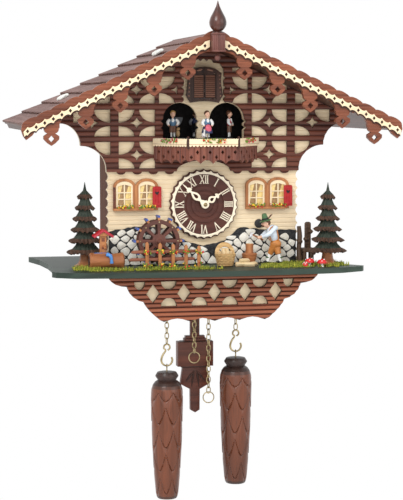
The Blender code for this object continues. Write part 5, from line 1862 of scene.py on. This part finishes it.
@dataclass
class Spruces:
    """The two carved spruces."""

    rng: random.Random = field(default_factory=lambda: random.Random(41))

    def tree(self, name: str, x: float, y: float, radius: float, tall: float) -> None:
        """Carve one spruce of six flared skirts on a stubby trunk.

        Args:
            name: The frame node that it stands for.
            x: Where it stands across the front.
            y: Where it stands in depth.
            radius: Its lowest skirt's radius.
            tall: Its height.
        """
        base, parts = GROUND, Kit()
        trunk = [(0, 18), (4.0, 18), (4.4, 12), (5.2, 6), (7.0, 2.2), (9.6, 0.6), (10.4, 0), (0, 0)]
        parts.add(turned("trunk", trunk, (x, y, base), 28, ripple=lambda a, h: 0.08 * math.sin(5 * a + 1)),
                  HONEY_LOG)
        tiers = 6
        for i in range(tiers):
            t = i / (tiers - 1)
            hem = 12.5 + t * (tall - 12.5 - 15)
            top = hem + 15
            wide = radius * (1 - 0.60 * t)
            neck = wide * 0.30 if i < tiers - 1 else 0.0
            phase = self.rng.uniform(0, 6)
            profile = [(0, top), (neck + 0.25, top - 0.5), (neck + wide * 0.14, top - 4.6),
                       (neck + wide * 0.25, top - 8),
                       (wide * 0.72, hem + 3.6), (wide * 0.90, hem + 1.3), (wide, hem),
                       (wide * 0.93, hem - 0.2),
                       (wide * 0.5, hem + 2.6), (0, hem + 3.4)]
            teeth = 22 - 2 * i

            def carve(a: float, h: float, hem: float = hem, phase: float = phase,
                      teeth: int = teeth) -> float:
                near = max(0.0, 1 - (h - hem) / 7.0)
                fan = (0.035 + 0.075 * near ** 2) * math.sin(teeth * a + phase)
                return fan + 0.03 * math.sin(3 * a + phase)

            skirt = turned("skirt", profile, (x, y, base), 88, ripple=carve, angle=50)
            for vert in skirt.data.vertices:
                h = vert.co.z / MM - base
                if h < hem + 1.5:
                    a = math.atan2(vert.co.y / MM - y, vert.co.x / MM - x)
                    vert.co.z += (0.9 * math.sin(teeth * a + phase) + 0.5 * math.sin(5 * a)) * MM
            dressed(skirt, SPRUCE_STAIN)
            skirt.data.materials.append(mixed(SPRUCE_HEM))
            for face in skirt.data.polygons:
                if face.center.z / MM - base < hem + 3.4:
                    face.material_index = 1
            parts.append(skirt)
        fitted(joined(name + "_carved", parts), stands_for=[name])

    def build(self) -> None:
        """Carve both spruces."""
        self.tree("tree_left", -111.5, -146, 16.6, 78)
        self.tree("tree_right", 112, -176, 16.4, 77)


@dataclass
class Fountain:
    """The hollowed log trough with its post, its little roof and its spout."""

    def build(self) -> None:
        """Make the fountain."""
        lay = shift(-80, -173, -146) @ Matrix.Rotation(math.radians(-90), 4, "Y")
        log = turned("log", [(0, 31.5), (6.4, 31.5), (7.5, 30.4), (7.1, 27), (6.4, 20), (6.3, 12), (6.9, 4),
                             (7.4, 1), (6.4, 0), (0, 0)],
                     (0, 0, 0), 40, ripple=lambda a, h: 0.03 * math.sin(7 * a + h * 0.25))
        parts = Kit([dressed(moved(log, lay), HONEY_LOG)])
        for x in (-111.7, -79.8):
            for r in (4.9, 3.3, 1.7):
                ring = moved(strand("ring", [(r * math.cos(a), r * math.sin(a), 0) for a in
                                             turns(9, 40)], 0.22, True),
                             shift(x, -173, -146) @ Matrix.Rotation(math.radians(90), 4, "Y"))
                parts.add(ring, DARK_WOOD_AND_SHADE)
        parts.add(block("basin", (-108.5, -177.2, -141.4), (-92.5, -169.2, -138.6), 0.8), HONEY_LOG)
        parts.add(block("water", (-107.2, -176.0, -140.2), (-93.8, -170.4, -138.4), 0.5), WATER_BLUE)
        parts.add(block("post", (-101, -169, -152.8), (-95, -163, -122), 0.6), HONEY_WOOD)
        for z in (-148, -141, -134, -127):
            parts.add(block("groove", (-99.4, -169.2, z - 1.6), (-96.6, -168.7, z + 1.6), 0.15), BARGE_WOOD)
        parts.add(strand("spout", [(-98, -168.5, -133), (-97, -171.5, -133.6), (-96.6, -173, -135.2)], 1.3),
                  HONEY_LOG)
        water = [(-95.6, -177.0, -139.4), (-92.9, -179.6, -141.4), (-92.2, -180.2, -144.2),
                 (-92.0, -180.3, -147.6)]
        parts.add(strand("stream", water, [1.9, 1.7, 1.4, 1.7]), WATER_BLUE)
        parts.add(lump("splash", (-94.2, -178.9, -140.4), (3.0, 1.2, 1.4)), WATER_BLUE)
        for side in (-1, 1):
            slope = Matrix.Rotation(math.radians(34) * side, 4, "Y")
            middle = -98 + side * 4.5
            slab = block("roof", (middle - 5.4, -172.4, -122.4), (middle + 5.4, -160.6, -120.6), 0.3, slope)
            parts.add(slab, CLOTH_RED)
            for y in (-171.4, -168.4, -165.4, -162.4):
                rib = block("rib", (middle - 5.3, y - 0.3, -120.5), (middle + 5.3, y + 0.3, -120.1), 0.1,
                            slope)
                parts.add(moved(rib, shift(side * 0.5, 0, 0)), SHUTTER_RED)
        gable = plate("gable", [[(-98, -119.6), (-92.5, -123.6), (-103.5, -123.6)]], -171.0, 1.4, 0.2)
        parts.add(gable, HONEY_WOOD)
        fitted(joined("fountain_carved", parts), stands_for=["fountain"])


@dataclass
class Fence:
    """The rustic fence in front of the wheel."""

    rng: random.Random = field(default_factory=lambda: random.Random(8))

    def build(self) -> None:
        """Make its rails, posts and flowers."""
        parts, flowers = Kit(), []
        for x0, x1, z0, z1 in ((-75, -13, -139, -136), (-77, -16, -146, -143)):
            shape = [(x0, (z0 + z1) / 2 - 0.4), (x0 + 3, z0), (x0 + 20, z0 + 0.3), (x1 - 18, z0 - 0.1),
                     (x1 - 3, z0 + 0.2),
                     (x1, (z0 + z1) / 2), (x1 - 3, z1), (x1 - 25, z1 + 0.2), (x0 + 16, z1 - 0.2),
                     (x0 + 3, z1)]
            parts.add(plate("rail", [rounded_line(shape, 3)], -184.5, 1.9, 0.6), RAIL_WOOD)
        for i in range(5):
            x, top = -62 + 12 * i, -128 - i
            shape = [(x, GROUND), (x + 3.2, GROUND), (x + 3.3, top - 2), (x + 1.7, top), (x, top - 1.6)]
            parts.add(plate("post", [shape], -186.2, 1.9, 0.5), HONEY_WOOD)
            flowers.append(bouquet("flowers", (x + 1.6, -186.6, -137.5), (3.4, 0.8, 2.0), 16, self.rng))
            flowers.append(bouquet("weeds", (x + 1.6, -186.6, -150.0), (4.6, 1.2, 2.4), 16, self.rng,
                                   (BLOOM_YELLOW, BLOOM_RED)))
        fitted(joined("fence_rustic", parts), stands_for=["fence"])
        fitted(joined("fence_flowers", flowers))


@dataclass
class Yard:
    """The basket, the firewood, the chopping block and the bench."""

    rng: random.Random = field(default_factory=lambda: random.Random(77))

    def basket(self) -> None:
        """Weave the basket and stack split logs in it."""
        x, y, z = 16, -168, -153.3
        wall = [(0, 10.5), (8.0, 10.5), (8.9, 11.4), (8.9, 9.6), (8.3, 7), (7.2, 3.4), (6.2, 0.4), (0, 0)]
        body = turned("body", wall, (x, y, z), 72, ripple=lambda a,
                      h: 0.03 * math.copysign(1, math.sin(12 * a)))
        parts = Kit([dressed(body, WICKER)])
        for k in range(7):
            h = 0.9 + 1.5 * k
            r = 6.4 + 2.6 * (h / 10.5) ** 0.8
            ring = [(x + (r + 0.4 * math.sin(12 * a + math.pi * k)) * math.cos(a),
                     y + (r + 0.4 * math.sin(12 * a + math.pi * k)) * math.sin(a), z + h)
                    for a in turns(48, 7.5)]
            parts.add(strand("weave", ring, 0.66, True, False, 1), WICKER)
        for k in range(4):
            hoop = [(x + (8.7 - 0.7 * k) * math.cos(a), y + 1.6 + 2.6 * math.sin(a) - 0.5 * k,
                     z + 11.4 + (9.6 - 0.9 * k) * math.sin(a)) for a in turns(10, 20)]
            parts.add(strand("hoop", hoop, 0.75), WICKER)
        for i in range(8):
            u, v = (-4.6, -1.6, 1.6, 4.6)[i % 4], (0 if i < 4 else -3.0)
            high = 17.6 - 0.22 * u * u + self.rng.uniform(-1, 1) + v * 0.9
            tip = (x + u * 1.15, y + v + 0.4, z + high)
            split = strand("log", [(x + u * 0.8, y + v, z + 7), tip], 1.75, smooth=False, sides=1)
            parts.add(split, FRESH_WOOD)
        ring = [(x + 8.9 * math.cos(a), y + 8.9 * math.sin(a), z + 11.3) for a in turns(12, 30)]
        parts.add(strand("rim", ring, 0.85, True), WICKER)
        fitted(joined("basket_woven", parts), stands_for=["basket"])

    def firewood(self) -> None:
        """Lay split billets beside the block."""
        billets = []
        for x, y, z, turn in ((29.5, -173.5, -151.6, 8), (37.5, -175.0, -151.8, -14),
                              (33.4, -171.5, -148.6, 20),
                              (42.0, -170.5, -151.9, 40)):
            billet = block("billet", (x - 5, y - 1.9, z - 1.6), (x + 5, y + 1.9, z + 1.6), 0.5,
                           Matrix.Rotation(math.radians(turn), 4, "Z") @ Matrix.Rotation(math.radians(30), 4,
                                                                                         "X"))
            billets.append(dressed(billet, FRESH_WOOD))
            billets.append(dressed(block("bark", (x - 4.8, y - 1.3, z - 1.9), (x + 4.8, y + 2.1, z - 0.9),
                                         0.4,
                                         Matrix.Rotation(math.radians(turn), 4, "Z")), HONEY_LOG))
        fitted(joined("firewood", billets))

    def block_and_bench(self) -> None:
        """Make the chopping block and the carved bench."""
        spot = (41, -160, -153.3)
        low = turned("foot", [(0, 11.4), (3.4, 11.4), (6.2, 10.8), (6.9, 9.8), (6.0, 5), (5.0, 1.6), (5.4, 0),
                              (0, 0)],
                     spot, 36, ripple=lambda a, h: 0.05 * math.sin(6 * a + 0.3 * h))
        high = turned("top", [(0, 19.6), (3.3, 19.6), (3.7, 19.2), (3.5, 14), (3.8, 11), (0, 11)], spot, 36,
                      ripple=lambda a, h: 0.04 * math.sin(5 * a + 1))
        slab = turned("cut", [(0, 19.8), (3.0, 19.8), (3.2, 19.5), (0, 19.5)], spot, 30)
        parts = [dressed(low, HONEY_LOG), dressed(high, HONEY_WOOD), dressed(slab, FRESH_WOOD)]
        fitted(joined("chopping_block", parts), stands_for=["stump"])
        bench = [block("seat", (93, -158.5, -143.2), (105, -148, -139.2), 0.8),
                 block("back", (97, -151.5, -143), (103, -148.5, -116.2), 0.8)]
        bench += [block("leg", (x, y, GROUND), (x + 3, y + 3, -142.8),
                        0.5) for x in (94, 101) for y in (-158, -151.5)]
        bench += [block("slat", (97.7, -152.0, z), (102.3, -151.2, z + 1.6), 0.2) for z in (-136, -131, -126,
                                                                                            -121)]
        bench.append(strand("trunk", [(91.4, -154, -153), (90.4, -154, -140), (91.2, -153.6, -128),
                                      (90.6, -153, -118.6)],
                            [3.0, 2.3, 2.5, 2.0]))
        bench += [lump("burl", place, (2.6, 2.0, 2.2), rough=0.25, grain=700)
                  for place in ((98, -151.8, -131), (102, -151.8, -124), (91, -155.6, -133),
                                (104.4, -154, -144))]
        bench.append(lump("knot", (100, -150, -116.4), (3.1, 1.7, 1.6), rough=0.1))
        fitted(dressed(joined("bench_carved", bench), BENCH_WOOD), stands_for=["log_bench"])

    def build(self) -> None:
        """Make the things in the yard."""
        self.basket()
        self.firewood()
        self.block_and_bench()


@dataclass
class WaterWheel:
    """The overshot wheel with its plate rims, spokes and paddles."""

    x: float = WHEEL_AXLE[0]
    z: float = WHEEL_AXLE[1]

    def rim(self, front: float) -> Object:
        """Make one fretted side of the wheel."""
        loops = [circle(self.x, self.z, 19.3, 72)]
        for i in range(8):
            start, end = 45 * i + 6.5, 45 * i + 38.5
            outer = arc(self.x, self.z, 15.6, 15.6, start, end, 8)
            inner = arc(self.x, self.z, 6.6, 6.6, end - 4, start + 4, 4)
            loops.append([*outer, *inner])
        return dressed(plate("rim", loops, front, 1.8, 0.25), WHEEL_WOOD)

    def build(self) -> None:
        """Make the wheel on its axle."""
        centre = (self.x, 0, self.z)
        parts = Kit([self.rim(-171.0), self.rim(-159.8)])
        drum = turned("drum", [(16.2, 169.4), (17.2, 169.4), (17.2, 159.6), (16.2, 159.6), (16.2, 169.4)],
                      centre, 60, "Y")
        parts.add(drum, WHEEL_WOOD)
        hub = turned("hub", [(0, 173.0), (1.8, 172.8), (2.6, 171.9), (3.9, 171.6), (4.0, 158.2), (2.2, 157),
                             (0, 157)],
                     centre, 36, "Y")
        parts.add(hub, WHEEL_WOOD)
        axle = strand("axle", [(self.x, -158, self.z), (self.x, -134, self.z)], 1.6, smooth=False, sides=5)
        parts.add(axle, STEEL)
        for i in range(12):
            turn = Matrix.Rotation(math.radians(30 * i), 4, "Y")
            place = shift(self.x, 0, self.z) @ turn
            board = block("paddle", (-0.9, -170.6, 16.6), (0.9, -158.4, 22.2), 0.25)
            face = block("face", (-1.05, -170.9, 17.4), (1.05, -170.4, 21.6), 0.15)
            tip = block("tip", (-1.05, -170.9, 21.3), (1.05, -158.1, 23.4), 0.3)
            for piece, look in ((board, WHEEL_WOOD), (face, HONEY_WOOD), (tip, TIP_BLUE)):
                parts.add(moved(piece, place), look)
        for i in range(8):
            a = math.radians(45 * i)
            nail = turned("nail", [(0, 0.5), (0.6, 0.3), (0.7, 0), (0, 0)],
                          (self.x + 17.5 * math.cos(a), -170.9, self.z + 17.5 * math.sin(a)), 10, "Y")
            parts.add(nail, BRASS)
        fitted(joined("water_wheel_built", parts), "water_wheel", ["water_wheel"])


@dataclass
class Woodcutter:
    """The carved woodcutter, leaning over the block with an axe."""

    y: float = -163.0

    def figure(self) -> None:
        """Carve everything but the arms."""
        parts = Kit([dressed(block("base", (54.5, -167.5, -153.4), (73, -158.5, -151.8), 0.5), MOSS)])
        for x, y in ((58, -160.8), (69.4, -165.2)):
            ankle, hip = (x, y, -150.6), (66 if x > 60 else 63.5, self.y, -136)
            knee = ((x * 1.05 + hip[0]) / 2.05, y, -143.5)
            parts.add(strand("leg", [ankle, knee], [1.5, 1.7], smooth=False), WHITE_PAINT)
            parts.add(strand("thigh", [knee, hip], [2.7, 3.6], smooth=False), LEATHER_PAINT)
            parts.add(lump("shoe", (x - 1.2, y, -150.9), (2.9, 1.5, 1.3)), BLACK_PAINT)
            parts.add(lump("cuff", (x + 0.3, y, -146.8), (1.9, 1.8, 0.8)), HAT_GREEN)
        parts.add(lump("hips", (65.5, self.y, -134.2), (5.4, 4.5, 4.8), rough=0.04), LEATHER_PAINT)
        parts.add(lump("chest", (62.6, self.y, -124.4), (5.1, 4.8, 8.4), (0, -16, 0), 0.03), SHIRT_PAINT)
        for side in (-1, 1):
            brace = [(67.6, self.y + side * 2.6, -133), (66.6, self.y + side * 3.9, -125),
                     (62.6, self.y + side * 3.4, -117.6),
                     (58.6, self.y + side * 3.2, -122), (60.4, self.y + side * 3.0, -131)]
            parts.add(strand("brace", brace, 0.6), LEATHER_PAINT)
            parts.add(lump("eye", (52.8, self.y + side * 1.4, -114.4), (0.35, 0.45, 0.45), detail=2),
                      BLACK_PAINT)
            parts.add(lump("ear", (56.6, self.y + side * 3.5, -115), (0.8, 0.6, 1.2)), SKIN)
        parts.add(strand("neck", [(59, self.y, -118.5), (57, self.y, -116)], 1.9, smooth=False), SKIN)
        parts.add(lump("head", (56, self.y, -114.9), (3.4, 3.3, 3.9), (0, -14, 0)), SKIN)
        parts.add(lump("hair", (57.4, self.y, -114.0), (3.1, 3.5, 3.3), (0, -14, 0), 0.1, 600), HAIR_BROWN)
        parts.add(lump("nose", (52.3, self.y, -115.4), (0.7, 0.55, 0.8)), SKIN)
        parts.add(lump("beard", (53.3, self.y, -117.2), (1.4, 2.1, 1.2), rough=0.2, grain=800), HAIR_BROWN)
        hat = [(0, 7.2), (1.6, 7.0), (2.3, 6.0), (2.9, 2.6), (3.2, 1.2), (5.6, 0.4), (5.7, 0.0), (3.0, 0),
               (0, 0)]
        band = [(2.95, 2.7), (3.25, 2.5), (3.45, 1.4), (3.2, 1.2), (2.95, 2.7)]
        for profile, look in ((hat, HAT_GREEN), (band, BLACK_PAINT)):
            made = turned("hat", profile, (0, 0, 0), 32)
            tilt = shift(55.7, self.y, -112.4) @ Matrix.Rotation(math.radians(-14), 4, "Y")
            parts.add(moved(made, tilt), look)
        parts.add(strand("feather", [(57.6, -165.4, -110.5), (59.6, -165.8, -107.6), (61.6, -165.8, -106)],
                         [0.5, 0.8, 0.2]), HAIR_BROWN)
        fitted(joined("woodcutter_carved", parts), stands_for=["woodcutter"])

    def arms(self) -> None:
        """Carve the arms and the axe."""
        parts = Kit()
        for side in (-1, 1):
            y = self.y + side * 5.4
            path = [(63.4, y, -119.0), (56.6, self.y + side * 6.2, -124.8),
                    (52.2, self.y + side * 3.0, -127.2)]
            parts.add(strand("sleeve", path, [2.2, 2.3, 1.5]), SHIRT_PAINT)
            parts.add(strand("forearm", [path[2], (49.8, self.y + side * 1.0, -127.9)], [1.2, 1.1]), SKIN)
            parts.add(lump("hand", (49.4, self.y + side * 0.9, -128), (1.6, 1.3, 1.4)), SKIN)
            parts.add(lump("shoulder", (63.6, y, -118.9), (2.6, 2.0, 2.5)), SHIRT_PAINT)
        parts.add(strand("pin", [(64, -168.6, -118.5), (64, -157.4, -118.5)], 0.9, smooth=False), STEEL)
        parts.add(strand("shaft", [(53.4, self.y, -130.3), (41, self.y, -124)], 0.75, smooth=False),
                  HONEY_LOG)
        blade = [(43.6, -123.4), (43.0, -126.8), (41.4, -128.0), (39.4, -128.2), (40.6, -125.4),
                 (41.0, -122.8)]
        parts.add(plate("blade", [blade], -163.7, 1.4, 0.25), STEEL)
        fitted(joined("woodcutter_arms_carved", parts), "woodcutter_arms",
               ["woodcutter_arms"])

    def build(self) -> None:
        """Make the woodcutter."""
        self.figure()
        self.arms()


# ---------------------------------------------------------------- pendulum, chains and weights

@dataclass
class Pendulum:
    """The carved pendulum with its leaf."""

    y: float = -105.0

    def build(self) -> None:
        """Make the rod, the blocks and the leaf."""
        ring = [circle(0, -118, 4.2, 28), circle(0, -118, 1.7, 16)]
        parts = Kit([dressed(plate("eye", ring, self.y - 1.6, 3.2, 0.3), PENDULUM_WOOD),
                     dressed(block("rod", (-3, self.y - 1.6, -216), (3, self.y + 1.6, -121.4), 0.6),
                             PENDULUM_WOOD)])
        neck = plate("neck", [rectangle(-4.5, -234, 4.5, -206)], self.y - 2.6, 5.2, 0.6)
        parts.add(neck, PENDULUM_WOOD)
        # Dark strips paint the shade in the neck's two grooves.
        for side in (-1, 1):
            groove = block("groove", (side * 2.2 - 0.5, self.y - 2.8, -224),
                           (side * 2.2 + 0.5, self.y - 2.3, -208), 0.15)
            parts.add(groove, DARK_WOOD_AND_SHADE)
        for low, high, wide, deep in ((-231.6, -229.0, 10.7, 4.4), (-229.0, -226.6, 9.4, 3.8),
                                      (-256, -232, 17.4, 6.0)):
            slab = plate("slab", [rectangle(-wide, low, wide, high)], self.y - deep, deep * 2,
                         1.0 if wide > 12 else 0.5)
            parts.add(slab, PENDULUM_WOOD)
        for z in (-232.2, -256.4):
            parts.add(block("seam", (-14, self.y - 5.2, z - 0.5), (14, self.y + 5.2, z + 0.5), 0.2),
                      DARK_WOOD_AND_SHADE)
        leaf = [(0, -256.5), (12.2, -257.2), (14.6, -273.4), (4.7, -278.8), (4.5, -299.0), (0, -301.6)]
        parts.add(plate("leaf", [mirrored(leaf)], self.y - 3.5, 7, 1.0), PENDULUM_WOOD)
        # Dark strands on the leaf paint the shade in four carved gouges.
        for x0, x1, z1 in ((-1.6, -9.6, -271), (-0.8, -3.6, -276), (0.8, 3.6, -276), (1.6, 9.6, -271)):
            path = [(x0, self.y - 3.3, -260.5), ((x0 + x1) / 2, self.y - 3.5, -266), (x1, self.y - 3.3, z1)]
            parts.add(strand("flute", path, [0.4, 1.25, 0.4]), DARK_WOOD_AND_SHADE)
        fitted(joined("pendulum_carved", parts), "pendulum", ["pendulum"])


@dataclass
class Chains:
    """The weight chains, the pine-cone weights and the pull rings."""

    y: float = -137.0
    pitch: float = 5.0

    def links(self, x: float, top: float, bottom: float) -> list[Object]:
        """Return chain links from one height down to another."""
        count = round((top - bottom) / self.pitch)
        pitch = (top - bottom) / count
        reach, wide = pitch / 2 + 0.5 - 1.8, 1.8
        loop = [(wide * math.cos(a), 0, reach * (1 if i < 5 else -1) + wide * math.sin(a))
                for i, a in enumerate(math.radians(t) for t in (0, 45, 90, 135, 180, 180, 225, 270, 315,
                                                                360))]
        model = strand("link", loop, 0.5, True, False, 2)
        pieces = []
        for i in range(count):
            turn = Matrix.Rotation(math.radians(100 if i % 2 else 10), 4, "Z")
            pieces.append(copied(model, shift(x, self.y, top - pitch * (i + 0.5)) @ turn))
        bpy.data.objects.remove(model, do_unlink=True)
        return pieces

    def chain(self, name: str, x: float, bottom: float, end: list[Object]) -> None:
        """Make one hanging chain on its cross pin."""
        pin = strand("pin", [(x - 4.8, self.y, -151.6), (x + 4.8, self.y, -151.6)], 1.15, smooth=False,
                     sides=5)
        parts = [pin, *self.links(x, -150.6, bottom), *end]
        fitted(dressed(joined(name + "_links", parts), BRASS), name, [name])

    def hook(self, x: float, cap: float) -> Object:
        """Make the double hook between a chain and its weight."""
        ring = [(2.9 * math.cos(a), 23.0 + 2.9 * math.sin(a)) for a in turns(9, 40, -75)]
        tail = [(-3.4, 16.6), (-5.1, 12.4), (-4.9, 8.9), (-2.9, 6.4), (0, 5.5), (2.9, 6.3), (4.9, 8.9),
                (5.2, 11.6), (4.4, 13.4)]
        sizes = [0.8] * 9 + [0.95, 1.0, 0.95, 0.8, 0.68, 0.8, 0.95, 0.95, 0.9]
        return strand("hook", [(x + u, self.y, cap + v) for u, v in (*ring, *tail)], sizes)

    def cone(self, name: str, x: float, cap: float) -> None:
        """Carve one pine-cone weight.

        Args:
            name: The body that it belongs to.
            x: Where it hangs.
            cap: The height of its cap.
        """
        outline = ((9.2, -8.4), (11.2, -9.6), (13.4, -12.6), (14.8, -17), (15.3, -24), (14.9, -44),
                   (14.0, -70),
                   (12.4, -98), (10.7, -116), (9.8, -120), (8.4, -121.8))

        def radius(h: float) -> float:
            for (r0, h0), (r1, h1) in zip(outline, outline[1:]):
                if h >= h1:
                    return r0 + (r1 - r0) * min(1.0, max(0.0, (h - h0) / (h1 - h0)))
            return outline[-1][0]

        def cut(a: float, h: float) -> float:
            depth = 0.0
            for row in range(5):
                u = abs((a / (2 * math.pi) * 6 + 0.5 * (row % 2) + 0.25) % 1.0 - 0.5)
                below = -h - (26.0 + 22.4 * row - (8.0 if row == 0 else 17.0) * (2 * u) ** 1.5)
                if below > 0:
                    depth = 0.11 * math.exp(-below / 2.4) * (1.2 - u)
            return -depth

        steps = [8.4 + i * 0.7 for i in range(162)]
        profile = [(0, -8.2), *[(radius(-s), -s) for s in steps], (0, -122)]
        body = turned("cone", profile, (x, self.y, cap), 132, ripple=cut, angle=26)
        dressed(body, CONE_WOOD)
        body.data.materials.append(mixed(CONE_SHOULDER))
        body.data.materials.append(mixed(CONE_CAP))
        for face in body.data.polygons:
            depth = cap - face.center.z / MM
            if depth < 15.5 or depth > 118.5:
                face.material_index = 2 if depth < 12.5 or depth > 120.5 else 1
        top = turned("cap", [(0, 0.2), (6, 0.1), (9.0, -0.5), (10.9, -3.6), (10.9, -4.4), (9.0, -7.2),
                             (8.7, -9), (0, -9)],
                     (x, self.y, cap), 48)
        eye = [(x, self.y + 1.5 * math.cos(t), cap + 5.4 + 1.6 * math.sin(t))
               for t in turns(8, 45)]
        stem = strand("stem", [(x, self.y, cap + 4), (x, self.y, cap - 2)], 0.6, smooth=False)
        parts = [body, dressed(top, CONE_CAP), dressed(strand("eye", eye, 0.42, True), BRASS),
                 dressed(stem, BRASS)]
        fitted(joined("pinecone_" + name, parts), name, ["pinecone_" + name])

    def ring(self, x: float, z: float) -> Object:
        """Make one pull ring."""
        return strand("ring", [(x + 5.2 * math.cos(a), self.y, z + 5.2 * math.sin(a))
                               for a in turns(12, 30)], 0.5, True)

    def build(self) -> None:
        """Make every chain and weight."""
        for side, x, cap, ring in (("left", -33.3, -255.5, -242.9), ("right", 33.3, -243.9, -281.7)):
            self.chain("weight_chain_" + side, x, cap + 26.6, [self.hook(x, cap)])
            self.cone("weight_" + side, x, cap)
            near = math.copysign(6.9, x)
            self.chain("ring_chain_" + side, near, ring + 4.4, [self.ring(near, ring)])


# ---------------------------------------------------------------- case and movement

@dataclass
class Case:
    """The plain case behind the front, the movement in it and the door in its back."""

    def build(self) -> None:
        """Dress the case and the movement, and add what is screwed to them."""
        for node, look in (("left_wall", CASE_WOOD), ("right_wall", CASE_WOOD), ("back_panel", CASE_WOOD),
                           ("back_door", CASE_WOOD), ("movement_housing", BLACK_PLASTIC),
                           ("battery_a", GREY_PLASTIC),
                           ("battery_b", GREY_PLASTIC), ("speaker", BLACK_PLASTIC),
                           ("sound_switch", GREY_PLASTIC),
                           ("setting_knob", GREY_PLASTIC)):
            kept(node, look)
        low, high = case_extent("back_door")
        screws = []
        for x in (low.x + 5, high.x - 5):
            for z in (low.z + 6, high.z - 6):
                screws.append(lump("screw", (x, high.y, z), (1.7, 0.5, 1.7)))
        fitted(dressed(joined("back_door_screws", screws), STEEL), "back_door")


# ---------------------------------------------------------------- studio

@dataclass
class Studio:
    """A pale floor, soft daylight and the camera."""

    focal: float = 118.27
    where: tuple[float, float, float] = (-0.3177, -1.645, 0.0)
    pitch: float = 0.09124
    yaw: float = 0.20772

    def backdrop(self) -> None:
        """Make the pale floor far under the clock."""
        bm = bmesh.new()
        bmesh.ops.create_circle(bm, cap_ends=True, segments=96, radius=1.3,
                                matrix=Matrix.Translation((0, 0, CAD_LOW.z - 0.9)))
        floor = soften(from_bmesh("backdrop", bm))
        recipe = Recipe("backdrop_paper", 0.9)
        cloud = recipe.noise(recipe.place, 1.5, 2.0)
        paper = recipe.ramp(cloud, ((0.2, (0.92, 0.92, 0.92)), (0.8, (0.95, 0.95, 0.95))))
        floor.data.materials.append(recipe.finish(paper, cloud, 0.1))

    def lamp(self, name: str, place: Sequence[float], size: float, power: float) -> None:
        """Hang one soft square lamp that faces the clock."""
        light = bpy.data.lights.new(name, "AREA")
        light.size, light.energy = size, power
        lamp = bpy.data.objects.new(name, light)
        bpy.context.scene.collection.objects.link(lamp)
        lamp.location = place
        aim = Vector((0, -0.1, -0.08)) - Vector(place)
        lamp.rotation_euler = aim.to_track_quat("-Z", "Y").to_euler()

    def build(self) -> None:
        """Set up the room, its light and the camera."""
        self.backdrop()
        for name, place, size, power in (("key_light", (-1.3, -1.7, 1.5), 1.0, 34),
                                         ("fill_light", (1.7, -1.9, 0.7), 1.6, 12),
                                         ("front_light", (-0.3, -2.6, 0.2), 1.8, 8),
                                         ("back_light", (0.8, 1.0, 1.6), 1.2, 12)):
            self.lamp(name, place, size, power)
        world = bpy.data.worlds.new("studio_air")
        world.use_nodes = True
        sky = world.node_tree.nodes["Background"]
        sky.inputs["Color"].default_value = (1, 1, 1, 1)
        sky.inputs["Strength"].default_value = 1.0
        bpy.context.scene.world = world
        bpy.context.scene.view_settings.view_transform = "Standard"
        camera = bpy.data.cameras.new("camera")
        camera.lens, camera.sensor_width = self.focal, 36.0
        camera.clip_end = 20
        rig = bpy.data.objects.new("camera", camera)
        bpy.context.scene.collection.objects.link(rig)
        rig.location = self.where
        rig.rotation_euler = (math.pi / 2 - self.pitch, 0, -self.yaw)
        bpy.context.scene.camera = rig


def main() -> None:
    """Build every sub-assembly in order, then the studio."""
    logging.basicConfig(level=logging.INFO, format="%(name)s: %(message)s")
    for part in (Roof(), Front(), Hatch(), Carousel(), Balcony(), Dial(), Windows(), Platform(), Spruces(),
                 Fountain(),
                 Fence(), Yard(), WaterWheel(), Woodcutter(), Pendulum(), Chains(), Case()):
        part.build()
    Studio().build()


if __name__ == "__main__":
    main()
